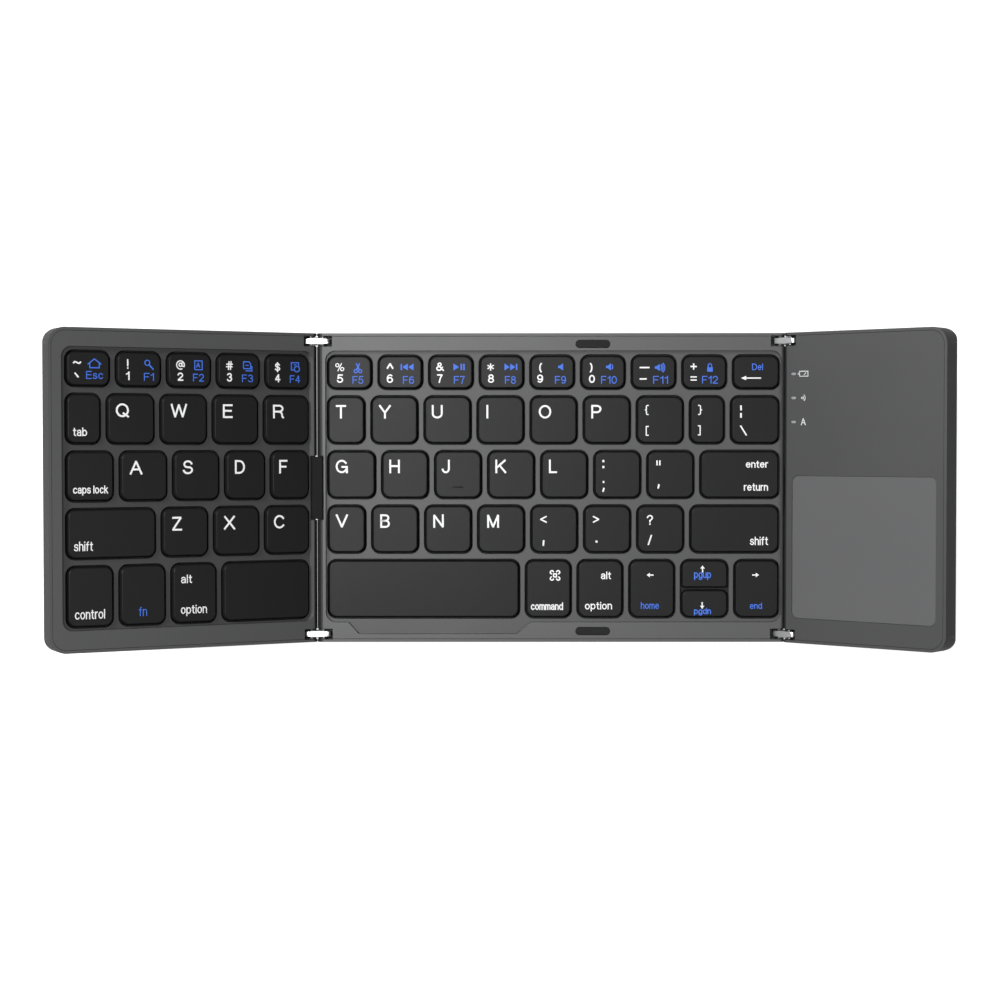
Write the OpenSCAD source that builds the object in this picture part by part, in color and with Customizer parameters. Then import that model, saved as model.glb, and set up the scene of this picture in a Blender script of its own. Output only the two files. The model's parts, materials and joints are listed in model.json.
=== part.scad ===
// Folding keyboard: a fixed centre panel with a key wing on the left and a touchpad wing on the right.
// Each wing hangs on two rigid links, and each link turns on one pin in the centre and one in the wing.
// Lengths are in millimetres. X runs to the right, Y to the back and Z up from the desk.

/* [Panels] */
// Front to back depth of all three panels
panel_depth = 93.9; // [93:0.1:98]
// Width of the centre panel between its two hinge edges
centre_width = 142.1; // [141.8:0.1:145]
// Width of the left wing, hinge edge to outer edge
left_width = 83; // [82.6:0.1:84.5]
// Width of the right wing, hinge edge to outer edge
right_width = 54.7; // [53.6:0.1:55.7]
// Thickness of a panel without its feet
panel_thickness = 7; // [6.8:0.1:8]
// Corner radius of the wings' outer corners, seen from above
corner_radius = 5; // [3.5:0.1:6]
// Radius of the outer edges along the underside
edge_radius = 1.2; // [0.6:0.1:1.6]

/* [Rest pose] */
// Lift of the left links from flat, degrees
left_link_lift = 6; // [0:1:20]
// Further lift of the left wing on its links, degrees
left_wing_lift = 21.8; // [0:0.1:30]
// Lift of the right links from flat, degrees
right_link_lift = 39; // [0:1:45]
// Further lift of the right wing on its links, degrees
right_wing_lift = 0.4; // [0:0.1:30]

/* [Shells] */
// Width of the rim that frames the top cover
rim_width = 0.9; // [0.8:0.05:1.1]
// Groove between the rim and the top cover
groove = 0.2; // [0.1:0.05:0.3]
// Thickness of a top cover
cover_thickness = 2.4; // [2.3:0.1:2.6]
// Depth of the sunken key field below the top cover's face
tray_depth = 1.5; // [1.3:0.1:1.6]
// Floor thickness of a base shell
base_floor = 1; // [0.8:0.1:1.2]
// Wall thickness of a base shell under the cover's ledge
base_wall = 1.7; // [1.5:0.1:1.9]

/* [Hinges] */
// Gap between two flat panels, and between their faces when folded shut
hinge_gap = 0.5; // [0.4:0.05:0.7]
// Distance of a pivot from the panel's edge and from its top face
pivot_inset = 1.5; // [1.4:0.05:1.6]
// Reach of a link beyond each of its pivots
link_reach = 2.35; // [2:0.05:2.5]
// Width of a link at its middle
link_width = 2.35; // [2:0.05:2.45]
// Width of a link at its ends
link_end_width = 1.85; // [1.5:0.05:2]
// Half of the height of a link
link_half_height = 1.25; // [1:0.05:1.3]
// Distance of the links' centre lines from the front and rear edges
link_margin = 2.4; // [2.35:0.05:2.6]
// Radius of a hinge pin
pin_radius = 0.5; // [0.4:0.05:0.6]
// Running clearance of a pin in a bracket
pin_clearance = 0.03; // [0.02:0.01:0.06]
// Thickness of a hinge bracket's ears
ear_thickness = 0.38; // [0.3:0.02:0.42]
// Length of the cover over the ribbon cable in the left gap
cable_cover_length = 19; // [12:0.5:24]
// Thickness of that cover
cable_cover_thickness = 0.4; // [0.3:0.05:0.6]

/* [Keys] */
// Web of cover between two keys in a row
web = 1.27; // [1.1:0.01:1.4]
// Web of cover between two rows
row_web = 1.42; // [1.2:0.01:1.5]
// Width of a letter key's opening
letter_opening = 14.88; // [14.6:0.01:15]
// Width of a number key's opening
number_opening = 14.13; // [13.9:0.01:14.3]
// Front to back size of a number key's opening
number_row_depth = 10.95; // [10.6:0.05:11.2]
// Front to back size of a letter key's opening
letter_row_depth = 15.2; // [15:0.05:15.4]
// Front to back size of the space row's openings
space_row_depth = 18.35; // [18:0.05:18.6]
// Distance of the key openings from the rear edge
rear_margin = 6.35; // [6.2:0.05:6.7]
// Corner radius of a key opening
opening_radius = 2.9; // [2.4:0.1:3.2]
// Gap around each key in its opening
key_gap = 0.45; // [0.35:0.05:0.55]
// Drop of the key tops below the cover's face
key_drop = 0.35; // [0.3:0.05:0.5]
// Height of a key from its skirt to its top
key_height = 2.5; // [2.3:0.1:2.7]
// Thickness of a key's top
key_top = 1.1; // [0.9:0.05:1.2]
// Thickness of a key's skirt
key_skirt = 1; // [0.8:0.1:1.2]
// Travel of a key
key_travel = 1.3; // [1:0.1:1.4]

/* [Touchpad and sockets] */
// Width of the touchpad
touchpad_width = 48; // [44:0.1:48.2]
// Front to back size of the touchpad
touchpad_depth = 43; // [40:0.1:44]
// Distance of the touchpad from the hinge edge
touchpad_inset = 3.3; // [2.6:0.05:3.8]
// Distance of the touchpad from the front edge
touchpad_margin = 7.6; // [7:0.1:9]
// Width of the charging socket's mouth
socket_width = 8.4; // [8:0.1:9]
// Height of the charging socket's mouth
socket_height = 2.6; // [2.4:0.1:2.7]
// Distance of the charging socket from the right wing's hinge edge
socket_inset = 38; // [24:1:40]

/* [Feet and screws] */
// How far the feet stand out of the underside
foot_height = 0.5; // [0.4:0.1:1]
// Length of a foot
foot_length = 12; // [8:1:16]
// Width of a foot
foot_width = 5; // [4:0.5:6]
// Radius of a screw's shank
screw_radius = 0.7; // [0.5:0.05:0.75]
// Radius of a screw's head
screw_head_radius = 1.25; // [1:0.05:1.4]
// Length of a rubber bumper on the centre panel's face
bumper_length = 10.5; // [8:0.5:12]
// Width of a rubber bumper
bumper_width = 2.5; // [2:0.1:2.8]

/* [Hidden] */
$fn = 64;

cut = 1;                 // overrun of a cut past the face it opens
seat = 0.05;             // clearance of a part that sits in a recess
board_gap = 0.1;         // clearance of a board or plate from the walls around it
face = 0;                // level of every panel's top face in the panel's own frame
link_span = 2 * pivot_inset + hinge_gap;
link_length = link_span + 2 * link_reach;

// Levels below the top face
web_level = -tray_depth;
cover_level = -cover_thickness;
key_level = -key_drop;
skirt_level = key_level - key_height;
dome_gap = 0.1;
dome_radius = 2.6;
dome_top_radius = 1.5;
dome_steps = [0.2, 0.8];  // parts of its height where the dome starts and stops tapering
dome_top = key_level - key_top - dome_gap;
press_gap = 0.25;        // what is left under a skirt at the end of its travel
membrane_thickness = 0.2;
plate_thickness = 0.4;
membrane_level = skirt_level - key_travel - press_gap;
plate_level = membrane_level - membrane_thickness;
floor_level = -panel_thickness + base_floor;

// Hinge pockets: one at each end of a hinge edge, around a link and its bracket
link_clearance = 0.09;
ear_inner = link_width / 2 + link_clearance;
pocket_half = ear_inner + ear_thickness;
link_end_gap = 0.6;
link_under_gap = 0.2;
pocket_length = pivot_inset + link_reach + link_end_gap;
bracket_floor = 0.35;
bracket_setback = hinge_gap / 4;
pocket_level = -pivot_inset - link_reach - link_under_gap - bracket_floor;
pocket_end_wall = 1.6;
pocket_side_wall = 1.4;
block_length = pocket_length + pocket_end_wall;
block_half = pocket_half + pocket_side_wall;
link_y = panel_depth / 2 - link_margin;

// Screw bosses
boss_radius = 1.45;
screw_margin = 3.3;
screw_y = panel_depth / 2 - screw_margin;
rear_left_inset = 19.05; // of the rear screws from the centre panel's left and right edges
right_inset = 11.05;
middle_screws_x = [-22, 34];
notch_screw_gap = 6.15;  // from the thumb notch to the front screw beside it
wing_screw_margin = 9;
wing_screw_inset = 15;
screw_head_depth = 0.7;
screw_tip = 0.9;         // cover left above a screw's tip
thread_clearance = 0.03;

// Key rows, back to front: their openings' sizes from left to right. The rows share out the panel's depth,
// and the openings of a row share out the key field's width, in the proportions given here.
row_depths = [number_row_depth, letter_row_depth, letter_row_depth, letter_row_depth, space_row_depth];
front_margin = 6.97;     // from the key openings to the front edge
backspace_opening = 14.75;
t_key = 11.95;
bracket_key = 11.2;
end_bracket_key = 15.36;
g_key = 15.15;
enter_opening = 24.63;
v_key = 12.1;
right_shift_opening = 27.68;
right_space = 58.95;
space_row_key = 14.5;
arrow_pair_key = 14.95;
right_arrow_key = 14.2;
tilde_key = 13.65;
four_key = 14.53;
tab_opening = 10.85;
r_key = 15.08;
caps_opening = 14.65;
d_key = 13.25;
f_key = 12.91;
left_shift_opening = 27.25;
c_key = 14.83;
control_opening = 14.4;
left_space = 28.44;
centre_rows = [
    [for (k = [1:8]) number_opening, backspace_opening],
    [t_key, for (k = [1:6]) letter_opening, bracket_key, end_bracket_key],
    [g_key, for (k = [1:6]) letter_opening, enter_opening],
    [v_key, for (k = [1:6]) letter_opening, right_shift_opening],
    [right_space, space_row_key, space_row_key, space_row_key, arrow_pair_key, right_arrow_key]
];
left_rows = [
    [tilde_key, for (k = [1:3]) number_opening, four_key],
    [tab_opening, for (k = [1:3]) letter_opening, r_key],
    [caps_opening, letter_opening, letter_opening, d_key, f_key],
    [left_shift_opening, letter_opening, letter_opening, c_key],
    [control_opening, space_row_key, space_row_key, left_space]
];
centre_left_margin = 2.7;
centre_right_margin = 1.45;
left_outer_margin = 5.1;
left_inner_margin = 2.25;
centre_span = [-centre_width / 2 + centre_left_margin, centre_width / 2 - centre_right_margin];
left_span = [-left_width + left_outer_margin, -left_inner_margin];
key_radius = opening_radius - key_gap;
arrow_gap = 0.6;         // between the two half-height arrow keys

// Key fields: how far each tray runs past the outermost openings: left, right, rear, front
centre_tray = [0.3, 0.25, 1.05, 0.95];
left_tray = [1.25, 0.9, 0.9, 0.55];
tray_radius = 3;
notch_depth = 3.6;       // of the thumb notch in front of the right space bar
notch_slant = [3.2, 4.3];
notch_length = 48.2;
notch_inset = 6.5;       // from the right space bar's left end to the thumb notch
notch_start = centre_span[0] + notch_inset;
notch_end = notch_start + notch_slant[0] + notch_length + notch_slant[1];

// Numbers of the rows and the columns that share a node
number_row = 0;
upper_row = 1;
home_row = 2;
lower_row = 3;
space_row = 4;

bumper_x = 12.6;
bumper_margin = 3.3;
bumper_proud = 0.2;
bumper_seat = 0.6;
foot_recess = 0.3;
foot_margin_x = 10;
foot_margin_y = 8;
wing_foot_length = 8;

// Touchpad stack, battery and board in the right wing
touchpad_thickness = 0.8;
touchpad_drop = 0.15;
touchpad_radius = 2;
touchpad_ledge = 1.2;
sensor_thickness = 0.8;
battery_size = [38, 33, 1.9];
battery_radius = 1;
battery_pad = 0.1;
battery_gap = 1.25;      // from the end of the ribbon cable
board_thickness = 0.8;
board_gap_front = 8.8;   // between the battery and the board behind it
board_rear_margin = 5.5;
board_side_margin = 2;
board_rest = 0.7;        // height of the ribs under the board
board_rib_rear = 8;      // distance of the rear rib from the board's rear edge
board_rib_front = 2;
board_rib_end = 1;
touchpad_x = touchpad_inset + touchpad_width / 2;
touchpad_y = -panel_depth / 2 + touchpad_margin + touchpad_depth / 2;
touchpad_level = -touchpad_drop;
sensor_level = touchpad_level - touchpad_thickness;
socket_wall = 0.3;
socket_length = 6.5;
socket_back = 1;         // closed back of the socket
socket_setback = 0.3;    // of its mouth from the rear wall's face
socket_level = floor_level + socket_height / 2 + socket_wall + board_gap;
light_x = 3.7;
light_size = [1.6, 0.8];
light_rear_margin = 12.55;
light_pitch = 7.25;
light_rows = [for (k = [0:2]) panel_depth / 2 - light_rear_margin - k * light_pitch];
light_drop = 0.02;

// Ribbon cables: their ends inside the panels, and the strips that cross the gaps
ribbon_width = 12;
ribbon_thickness = 0.3;
ribbon_tail = 6;
strip_hold = 0.3;        // how far a strip reaches into a panel's slot
strip_gap = 0.2;         // between a strip and the ribbon's end behind it
ribbon_level = (plate_level - plate_thickness + floor_level) / 2;
slot_height = 0.9;
slot_side = 1;
notch_clearance = 0.1;
notch_end_gap = 0.3;
notch_reach = pivot_inset + cable_cover_thickness / 2 + notch_clearance;
battery_x = strip_hold + strip_gap + ribbon_tail + battery_gap + battery_size[0] / 2;

// Base supports under a key plate
rib_width = 1.2;
rib_setback = 2;
rib_y = [-30, -10, 10, 30];

// Where a wing's own point [x outwards, z] lies beside the centre panel, and how far a wing reaches:
// the origin goes under the middle of the whole keyboard
function turned(x, z, a) = [x * cos(a) - z * sin(a), x * sin(a) + z * cos(a)];
function wing_point(link_lift, wing_lift, x, z) =
    [centre_width / 2 - pivot_inset, -pivot_inset] + turned(link_span, 0, link_lift)
    + turned(x - pivot_inset, z + pivot_inset, link_lift + wing_lift);
function wing_tip(width, link_lift, wing_lift) =
    wing_point(link_lift, wing_lift, width - edge_radius, -panel_thickness + edge_radius)[0] + edge_radius;
shift = (wing_tip(left_width, left_link_lift, left_wing_lift)
         - wing_tip(right_width, right_link_lift, right_wing_lift)) / 2;

// Places of keys: share gives what one of a list of sizes gets of a room that also holds the webs between
function sum_to(list, n) = n == 0 ? 0 : list[n - 1] + sum_to(list, n - 1);
function share(list, room, gap) = (room - gap * (len(list) - 1)) / sum_to(list, len(list));
function row_share(row, span) = share(row, span[1] - span[0], web);
function opening_width(row, i, span) = row[i] * row_share(row, span);
function opening_left(row, i, span) = span[0] + sum_to(row, i) * row_share(row, span) + i * web;
function opening_x(row, i, span) = opening_left(row, i, span) + opening_width(row, i, span) / 2;
depth_share = share(row_depths, panel_depth - rear_margin - front_margin, row_web);
function row_depth(r) = row_depths[r] * depth_share;
function row_rear(r) = panel_depth / 2 - rear_margin - sum_to(row_depths, r) * depth_share - r * row_web;
function row_y(r) = row_rear(r) - row_depth(r) / 2;
field_front = -panel_depth / 2 + front_margin;
arrow_column = 4;
half_arrow = (row_depth(space_row) - 2 * key_gap - arrow_gap) / 2;

// Frames ---------------------------------------------------------------------------------------

// From the centre panel's own frame, with its top face at 0, to the whole keyboard's
module on_centre() {
    translate([shift, 0, foot_height + panel_thickness]) children();
}

// From a link's own frame, with the centre pivot at its origin and the link along +X (right) or -X
module on_link(side, link_lift) {
    on_centre()
        translate([side * (centre_width / 2 - pivot_inset), 0, -pivot_inset])
            rotate([0, -side * link_lift, 0]) children();
}

// From a wing's own frame, with its hinge edge at X = 0 and its top face at Z = 0
module on_wing(side, link_lift, wing_lift) {
    on_link(side, link_lift)
        translate([side * link_span, 0, 0])
            rotate([0, -side * wing_lift, 0])
                translate([-side * pivot_inset, 0, pivot_inset]) children();
}

module on_left_link() on_link(-1, left_link_lift) children();
module on_right_link() on_link(1, right_link_lift) children();
module on_left_wing() on_wing(-1, left_link_lift, left_wing_lift) children();
module on_right_wing() on_wing(1, right_link_lift, right_wing_lift) children();

// Plain shapes ---------------------------------------------------------------------------------

// Flat rounded rectangle about the origin
module rounded(w, d, r) {
    square([w - 2 * r, d], center = true);
    square([w, d - 2 * r], center = true);
    for (x = [-1, 1], y = [-1, 1]) translate([x * (w / 2 - r), y * (d / 2 - r)]) circle(r);
}

// Rounded plate from z0 up to z1, about [x, y]
module plate(x, y, w, d, r, z0, z1) {
    translate([x, y, z0]) linear_extrude(z1 - z0) rounded(w, d, r);
}

// Plain block between two corners
module block(low, high) {
    translate(low) cube(high - low);
}

// Shape drawn in X and Z, drawn out along Y about the middle
module along_y(length) {
    rotate([90, 0, 0]) translate([0, 0, -length / 2]) linear_extrude(length) children();
}

// Shape drawn in Y and Z, drawn out along X from x0 to x1
module along_x(x0, x1) {
    translate([x0, 0, 0]) rotate([90, 0, 90]) linear_extrude(x1 - x0) children();
}

// Plan of a panel from x0 to x1: round corners where corners names that end, square at a hinge edge
module panel_plan(x0, x1, corners, inset = 0) {
    d = panel_depth - 2 * inset;
    r = corner_radius - inset;
    left = corners[0] ? x0 + inset : x0;
    right = corners[1] ? x1 - inset : x1;
    translate([corners[0] ? left + r : left, -d / 2])
        square([right - left - (corners[0] ? r : 0) - (corners[1] ? r : 0), d]);
    if (corners[0]) round_end(left, d, r, 1);
    if (corners[1]) round_end(right, d, r, -1);
}

// The strip of a plan at a round end at x, running inwards along dir
module round_end(x, d, r, dir) {
    for (y = [-1, 1]) translate([x + dir * r, y * (d / 2 - r)]) circle(r);
    translate([dir > 0 ? x : x - r, -d / 2 + r]) square([r, d - 2 * r]);
}

// Section of a panel in X and Z: rounded about the pivot at a hinge edge, and along the underside
module panel_section(x0, x1, corners, z0) {
    inner = pivot_inset;
    outer = edge_radius;
    left = corners[0] ? outer : inner;
    right = corners[1] ? outer : inner;
    translate([x0 + left, z0]) square([x1 - x0 - left - right, face - z0]);
    section_end(x0, 1, corners[0], z0);
    section_end(x1, -1, corners[1], z0);
}

module section_end(x, dir, outside, z0) {
    r = outside ? edge_radius : pivot_inset;
    from = dir > 0 ? x : x - r;
    round_z = outside ? z0 + r : -r;
    translate([x + dir * r, round_z]) circle(r);
    if (outside) translate([from, z0 + r]) square([r, face - z0 - r]);
    else translate([from, z0]) square([r, -r - z0]);
}

// Section of a panel in Y and Z
module side_section(z0) {
    half = panel_depth / 2;
    translate([-half + edge_radius, z0]) square([2 * (half - edge_radius), face - z0]);
    translate([-half, z0 + edge_radius]) square([2 * half, face - z0 - edge_radius]);
    for (y = [-1, 1]) translate([y * (half - edge_radius), z0 + edge_radius]) circle(edge_radius);
}

// Shells ---------------------------------------------------------------------------------------

// Outer body of a panel, without its hollow
module panel_body(x0, x1, corners) {
    intersection() {
        translate([0, 0, -panel_thickness]) linear_extrude(panel_thickness) panel_plan(x0, x1, corners);
        along_y(panel_depth + cut) panel_section(x0, x1, corners, -panel_thickness);
        along_x(x0, x1) side_section(-panel_thickness);
    }
}

// Room of the hollow, held back from each hinge edge by the wall
module hollow_plan(x0, x1, corners) {
    left = corners[0] ? x0 : x0 + base_wall;
    right = corners[1] ? x1 : x1 - base_wall;
    panel_plan(left, right, corners, base_wall);
}

// Places of the hinge pockets: [x of the hinge edge, direction into the panel]
function hinge_edges(x0, x1, corners) =
    concat(corners[0] ? [] : [[x0, 1]], corners[1] ? [] : [[x1, -1]]);

module pocket_cuts(x0, x1, corners) {
    for (e = hinge_edges(x0, x1, corners), y = [-link_y, link_y])
        translate([e[0], y, 0])
            block([e[1] > 0 ? -cut : -pocket_length, -pocket_half, pocket_level],
                  [e[1] > 0 ? pocket_length : cut, pocket_half, cut]);
}

module pocket_blocks(x0, x1, corners) {
    for (e = hinge_edges(x0, x1, corners), y = [-1, 1])
        block([e[1] > 0 ? e[0] : e[0] - block_length,
               y > 0 ? link_y - block_half : -panel_depth / 2, floor_level],
              [e[1] > 0 ? e[0] + block_length : e[0],
               y > 0 ? panel_depth / 2 : -link_y + block_half, cover_level]);
}

// Base shell: floor and walls, ledge and rim, screw bosses, ribs and hinge blocks
module base_shell(x0, x1, corners, screws, ribs, feet, foot) {
    difference() {
        union() {
            intersection() {
                panel_body(x0, x1, corners);
                difference() {
                    translate([x0, -panel_depth / 2, -panel_thickness])
                        cube([x1 - x0, panel_depth, panel_thickness]);
                    translate([0, 0, floor_level]) linear_extrude(panel_thickness)
                        hollow_plan(x0, x1, corners);
                    translate([0, 0, cover_level]) linear_extrude(panel_thickness)
                        recess_plan(x0, x1, corners);
                }
            }
            intersection() {
                panel_body(x0, x1, corners);
                pocket_blocks(x0, x1, corners);
            }
            for (s = screws) translate([s[0], s[1], floor_level - base_floor / 2])
                cylinder(r = boss_radius, h = cover_level - floor_level + base_floor / 2);
            for (r = ribs) block([r[0], r[1], floor_level - base_floor / 2], [r[2], r[3], r[4]]);
        }
        pocket_cuts(x0, x1, corners);
        for (s = screws) translate([s[0], s[1], -panel_thickness - cut]) {
            cylinder(r = screw_radius + seat, h = panel_thickness + cut);
            cylinder(r = screw_head_radius + seat, h = screw_head_depth + cut);
        }
        for (f = feet) plate(f[0], f[1], foot + 2 * seat, foot_width + 2 * seat,
                             foot_width / 2, -panel_thickness - cut,
                             -panel_thickness + foot_recess);
    }
}

// Plan of the recess that the top cover sits in: open at the hinge edges
module recess_plan(x0, x1, corners) {
    left = corners[0] ? x0 : x0 - cut;
    right = corners[1] ? x1 : x1 + cut;
    panel_plan(left, right, corners, rim_width);
}

// Top cover without its openings
module cover_body(x0, x1, corners, screws) {
    difference() {
        intersection() {
            translate([0, 0, cover_level]) linear_extrude(cover_thickness)
                panel_plan(x0, x1, corners, rim_width + groove);
            along_y(panel_depth) panel_section(x0, x1, corners, -panel_thickness);
        }
        pocket_cuts(x0, x1, corners);
        for (s = screws) translate([s[0], s[1], cover_level - cut])
            cylinder(r = screw_radius + thread_clearance, h = cover_thickness - screw_tip + cut);
    }
}

// Screws, put in from below
module screw_set(screws) {
    for (s = screws) translate([s[0], s[1], -panel_thickness]) {
        cylinder(r = screw_head_radius, h = screw_head_depth - seat);
        cylinder(r = screw_radius, h = panel_thickness - screw_tip - seat);
    }
}

module foot_set(feet, foot) {
    for (f = feet) plate(f[0], f[1], foot, foot_width, foot_width / 2 - seat,
                         -panel_thickness - foot_height, -panel_thickness + foot_recess);
}

// Hinges ---------------------------------------------------------------------------------------

// Bracket of one pocket: a floor and two ears with the pin's bores, drawn for an edge that faces +X
module bracket() {
    end = -(pocket_length - seat);
    difference() {
        intersection() {
            block([end, -pocket_half, pocket_level], [-bracket_setback, pocket_half, face - hinge_gap / 2]);
            along_y(2 * pocket_half + cut) bracket_section(end);
        }
        block([end - cut, -ear_inner, pocket_level + bracket_floor], [cut, ear_inner, cut]);
        translate([-pivot_inset, pocket_half + cut, -pivot_inset])
            rotate([90, 0, 0]) cylinder(r = pin_radius + pin_clearance, h = 2 * (pocket_half + cut));
    }
}

module bracket_section(end) {
    translate([-pivot_inset, -pivot_inset]) circle(pivot_inset - bracket_setback);
    translate([end, pocket_level]) square([-end - bracket_setback, -pivot_inset - pocket_level]);
}

module bracket_pair(x, dir) {
    for (y = [-link_y, link_y]) translate([x, y, 0]) mirror([dir > 0 ? 0 : 1, 0, 0]) bracket();
}

// One link: barrel-shaped from above and round-ended from the side, drawn along +X from its first pivot
module link() {
    middle = link_span / 2;
    half = link_length / 2;
    difference() {
        intersection() {
            translate([middle, 0, -link_half_height]) linear_extrude(2 * link_half_height)
                polygon([[-half, -link_end_width / 2], [0, -link_width / 2], [half, -link_end_width / 2],
                         [half, link_end_width / 2], [0, link_width / 2], [-half, link_end_width / 2]]);
            along_y(link_width + cut) link_section(half - link_half_height, middle);
        }
        for (x = [0, link_span]) translate([x, link_width, 0])
            rotate([90, 0, 0]) cylinder(r = pin_radius + pin_clearance / 2, h = 2 * link_width);
    }
}

module link_section(reach, middle) {
    translate([middle - reach, -link_half_height]) square([2 * reach, 2 * link_half_height]);
    for (x = [-1, 1]) translate([middle + x * reach, 0]) circle(link_half_height);
}

module link_pair(side) {
    for (y = [-link_y, link_y]) translate([0, y, 0]) mirror([side > 0 ? 0 : 1, 0, 0]) link();
}

module pin_set(side) {
    length = 2 * (pocket_half - seat);
    for (y = [-link_y, link_y], x = [0, link_span])
        translate([side * x, y + length / 2, 0]) rotate([90, 0, 0]) cylinder(r = pin_radius, h = length);
}

// Keys -----------------------------------------------------------------------------------------

// One hollow keycap about [x, y]
module keycap(x, y, w, d) {
    r = min(key_radius, d / 2 - seat);
    difference() {
        plate(x, y, w, d, r, skirt_level, key_level);
        plate(x, y, w - 2 * key_skirt, d - 2 * key_skirt, max(r - key_skirt, seat),
              skirt_level - cut, key_level - key_top);
    }
}

// Keys number first to last of a row
module keys(rows, span, r, first, last) {
    for (i = [first:last])
        keycap(opening_x(rows[r], i, span), row_y(r),
               opening_width(rows[r], i, span) - 2 * key_gap, row_depth(r) - 2 * key_gap);
}

// Openings of every key in a panel
module openings(rows, span) {
    for (r = [0:len(rows) - 1], i = [0:len(rows[r]) - 1])
        plate(opening_x(rows[r], i, span), row_y(r), opening_width(rows[r], i, span), row_depth(r),
              opening_radius, cover_level - cut, cut);
}

// Sunken field around the keys
module tray(span, margins) {
    x0 = span[0] - margins[0];
    x1 = span[1] + margins[1];
    y0 = field_front - margins[3];
    y1 = row_rear(0) + margins[2];
    plate((x0 + x1) / 2, (y0 + y1) / 2, x1 - x0, y1 - y0, tray_radius, web_level, cut);
}

module thumb_notch() {
    y1 = field_front;
    y0 = field_front - centre_tray[3] - notch_depth;
    translate([0, 0, web_level]) linear_extrude(tray_depth + cut)
        polygon([[notch_start, y1], [notch_start, y0 + notch_depth], [notch_start + notch_slant[0], y0],
                 [notch_end - notch_slant[1], y0], [notch_end, y0 + notch_depth], [notch_end, y1]]);
}

// Domes under the keys of a panel
module domes(rows, span) {
    for (r = [0:len(rows) - 1], i = [0:len(rows[r]) - 1])
        for (y = dome_rows(rows, r, i)) translate([opening_x(rows[r], i, span), y, membrane_level])
            dome();
}

function dome_rows(rows, r, i) =
    rows == centre_rows && r == space_row && i == arrow_column
        ? [for (s = [-1, 1]) row_y(r) + s * (half_arrow + arrow_gap) / 2] : [row_y(r)];

module dome() {
    height = dome_top - membrane_level;
    rotate_extrude() polygon([[0, 0], [dome_radius, 0], [dome_radius, height * dome_steps[0]],
                              [dome_top_radius, height * dome_steps[1]],
                              [dome_top_radius, height], [0, height]]);
}

// Centre panel ---------------------------------------------------------------------------------

centre_x = [-centre_width / 2, centre_width / 2];
hinged_both = [false, false];
corner_screw = block_length + boss_radius + board_gap;
rear_screws_x = [-centre_width / 2 + rear_left_inset, middle_screws_x[0], middle_screws_x[1],
                 centre_width / 2 - right_inset];
front_screws_x = [-centre_width / 2 + corner_screw, notch_end + notch_screw_gap, middle_screws_x[1],
                  centre_width / 2 - right_inset];
centre_screws_at = concat([for (x = rear_screws_x) [x, screw_y]], [for (x = front_screws_x) [x, -screw_y]]);
centre_feet_at = [for (x = [-1, 1], y = [-1, 1])
    [x * (centre_width / 2 - foot_margin_x - foot_length / 2), y * (panel_depth / 2 - foot_margin_y)]];
plate_margin = 5.2;
centre_plate_x = [centre_x[0] + base_wall + board_gap, centre_x[1] - base_wall - board_gap];
plate_y = [-panel_depth / 2 + plate_margin, panel_depth / 2 - plate_margin];
block_front = link_y - block_half;

function plate_ribs(x) = [for (y = rib_y)
    [x[0] + rib_setback, y - rib_width / 2, x[1] - rib_setback, y + rib_width / 2,
     plate_level - plate_thickness]];

// Sheet with its corners cut back from the hinge blocks
module inner_sheet(x, corners, z0, z1) {
    linear_extrude_between(z0, z1) difference() {
        translate([x[0], plate_y[0]]) square([x[1] - x[0], plate_y[1] - plate_y[0]]);
        for (e = hinge_edges(x[0], x[1], corners), y = [-1, 1])
            translate([e[1] > 0 ? e[0] - cut : e[0] - block_length, y > 0 ? block_front - board_gap
                       : -panel_depth / 2 - cut])
                square([block_length + cut, panel_depth / 2 - block_front + board_gap + cut]);
    }
}

module linear_extrude_between(z0, z1) {
    translate([0, 0, z0]) linear_extrude(z1 - z0) children();
}

module centre_base() {
    color("dimgray") on_centre() difference() {
        base_shell(centre_x[0], centre_x[1], hinged_both, centre_screws_at,
                   plate_ribs(centre_x + [base_wall, -base_wall]), centre_feet_at, foot_length);
        for (s = [-1, 1]) ribbon_slot(s * centre_width / 2);
    }
}

module centre_cover() {
    color("dimgray") on_centre() difference() {
        cover_body(centre_x[0], centre_x[1], hinged_both, centre_screws_at);
        tray(centre_span, centre_tray);
        thumb_notch();
        openings(centre_rows, centre_span);
        cable_notch(centre_x[0], 1);
        for (y = [-1, 1]) plate(bumper_x, y * (panel_depth / 2 - bumper_margin), bumper_length,
                                bumper_width, bumper_width / 2 - seat, -bumper_seat, cut);
    }
}

module centre_key_plate() {
    color("silver") on_centre()
        inner_sheet(centre_plate_x, hinged_both, plate_level - plate_thickness, plate_level);
}

module centre_membrane() {
    color("lightgray") on_centre()
        inner_sheet(centre_plate_x, hinged_both, plate_level, membrane_level);
}

module centre_key_domes() {
    color("white") on_centre() domes(centre_rows, centre_span);
}

module centre_bumpers() {
    color("black") on_centre() for (y = [-1, 1])
        plate(bumper_x, y * (panel_depth / 2 - bumper_margin), bumper_length - 2 * seat,
              bumper_width - 2 * seat, bumper_width / 2 - 2 * seat, -bumper_seat, bumper_proud);
}

module centre_feet() {
    color("black") on_centre() foot_set(centre_feet_at, foot_length);
}

module centre_screws() {
    color("silver") on_centre() screw_set(centre_screws_at);
}

module centre_hinge_brackets() {
    color("black") on_centre() {
        bracket_pair(centre_width / 2, 1);
        bracket_pair(-centre_width / 2, -1);
    }
}

// Slot in a hinge wall for the ribbon cable, and the ribbon's end behind it
module ribbon_slot(x) {
    translate([x, 0, ribbon_level])
        cube([4 * base_wall, ribbon_width + 2 * slot_side, slot_height], center = true);
}

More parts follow.
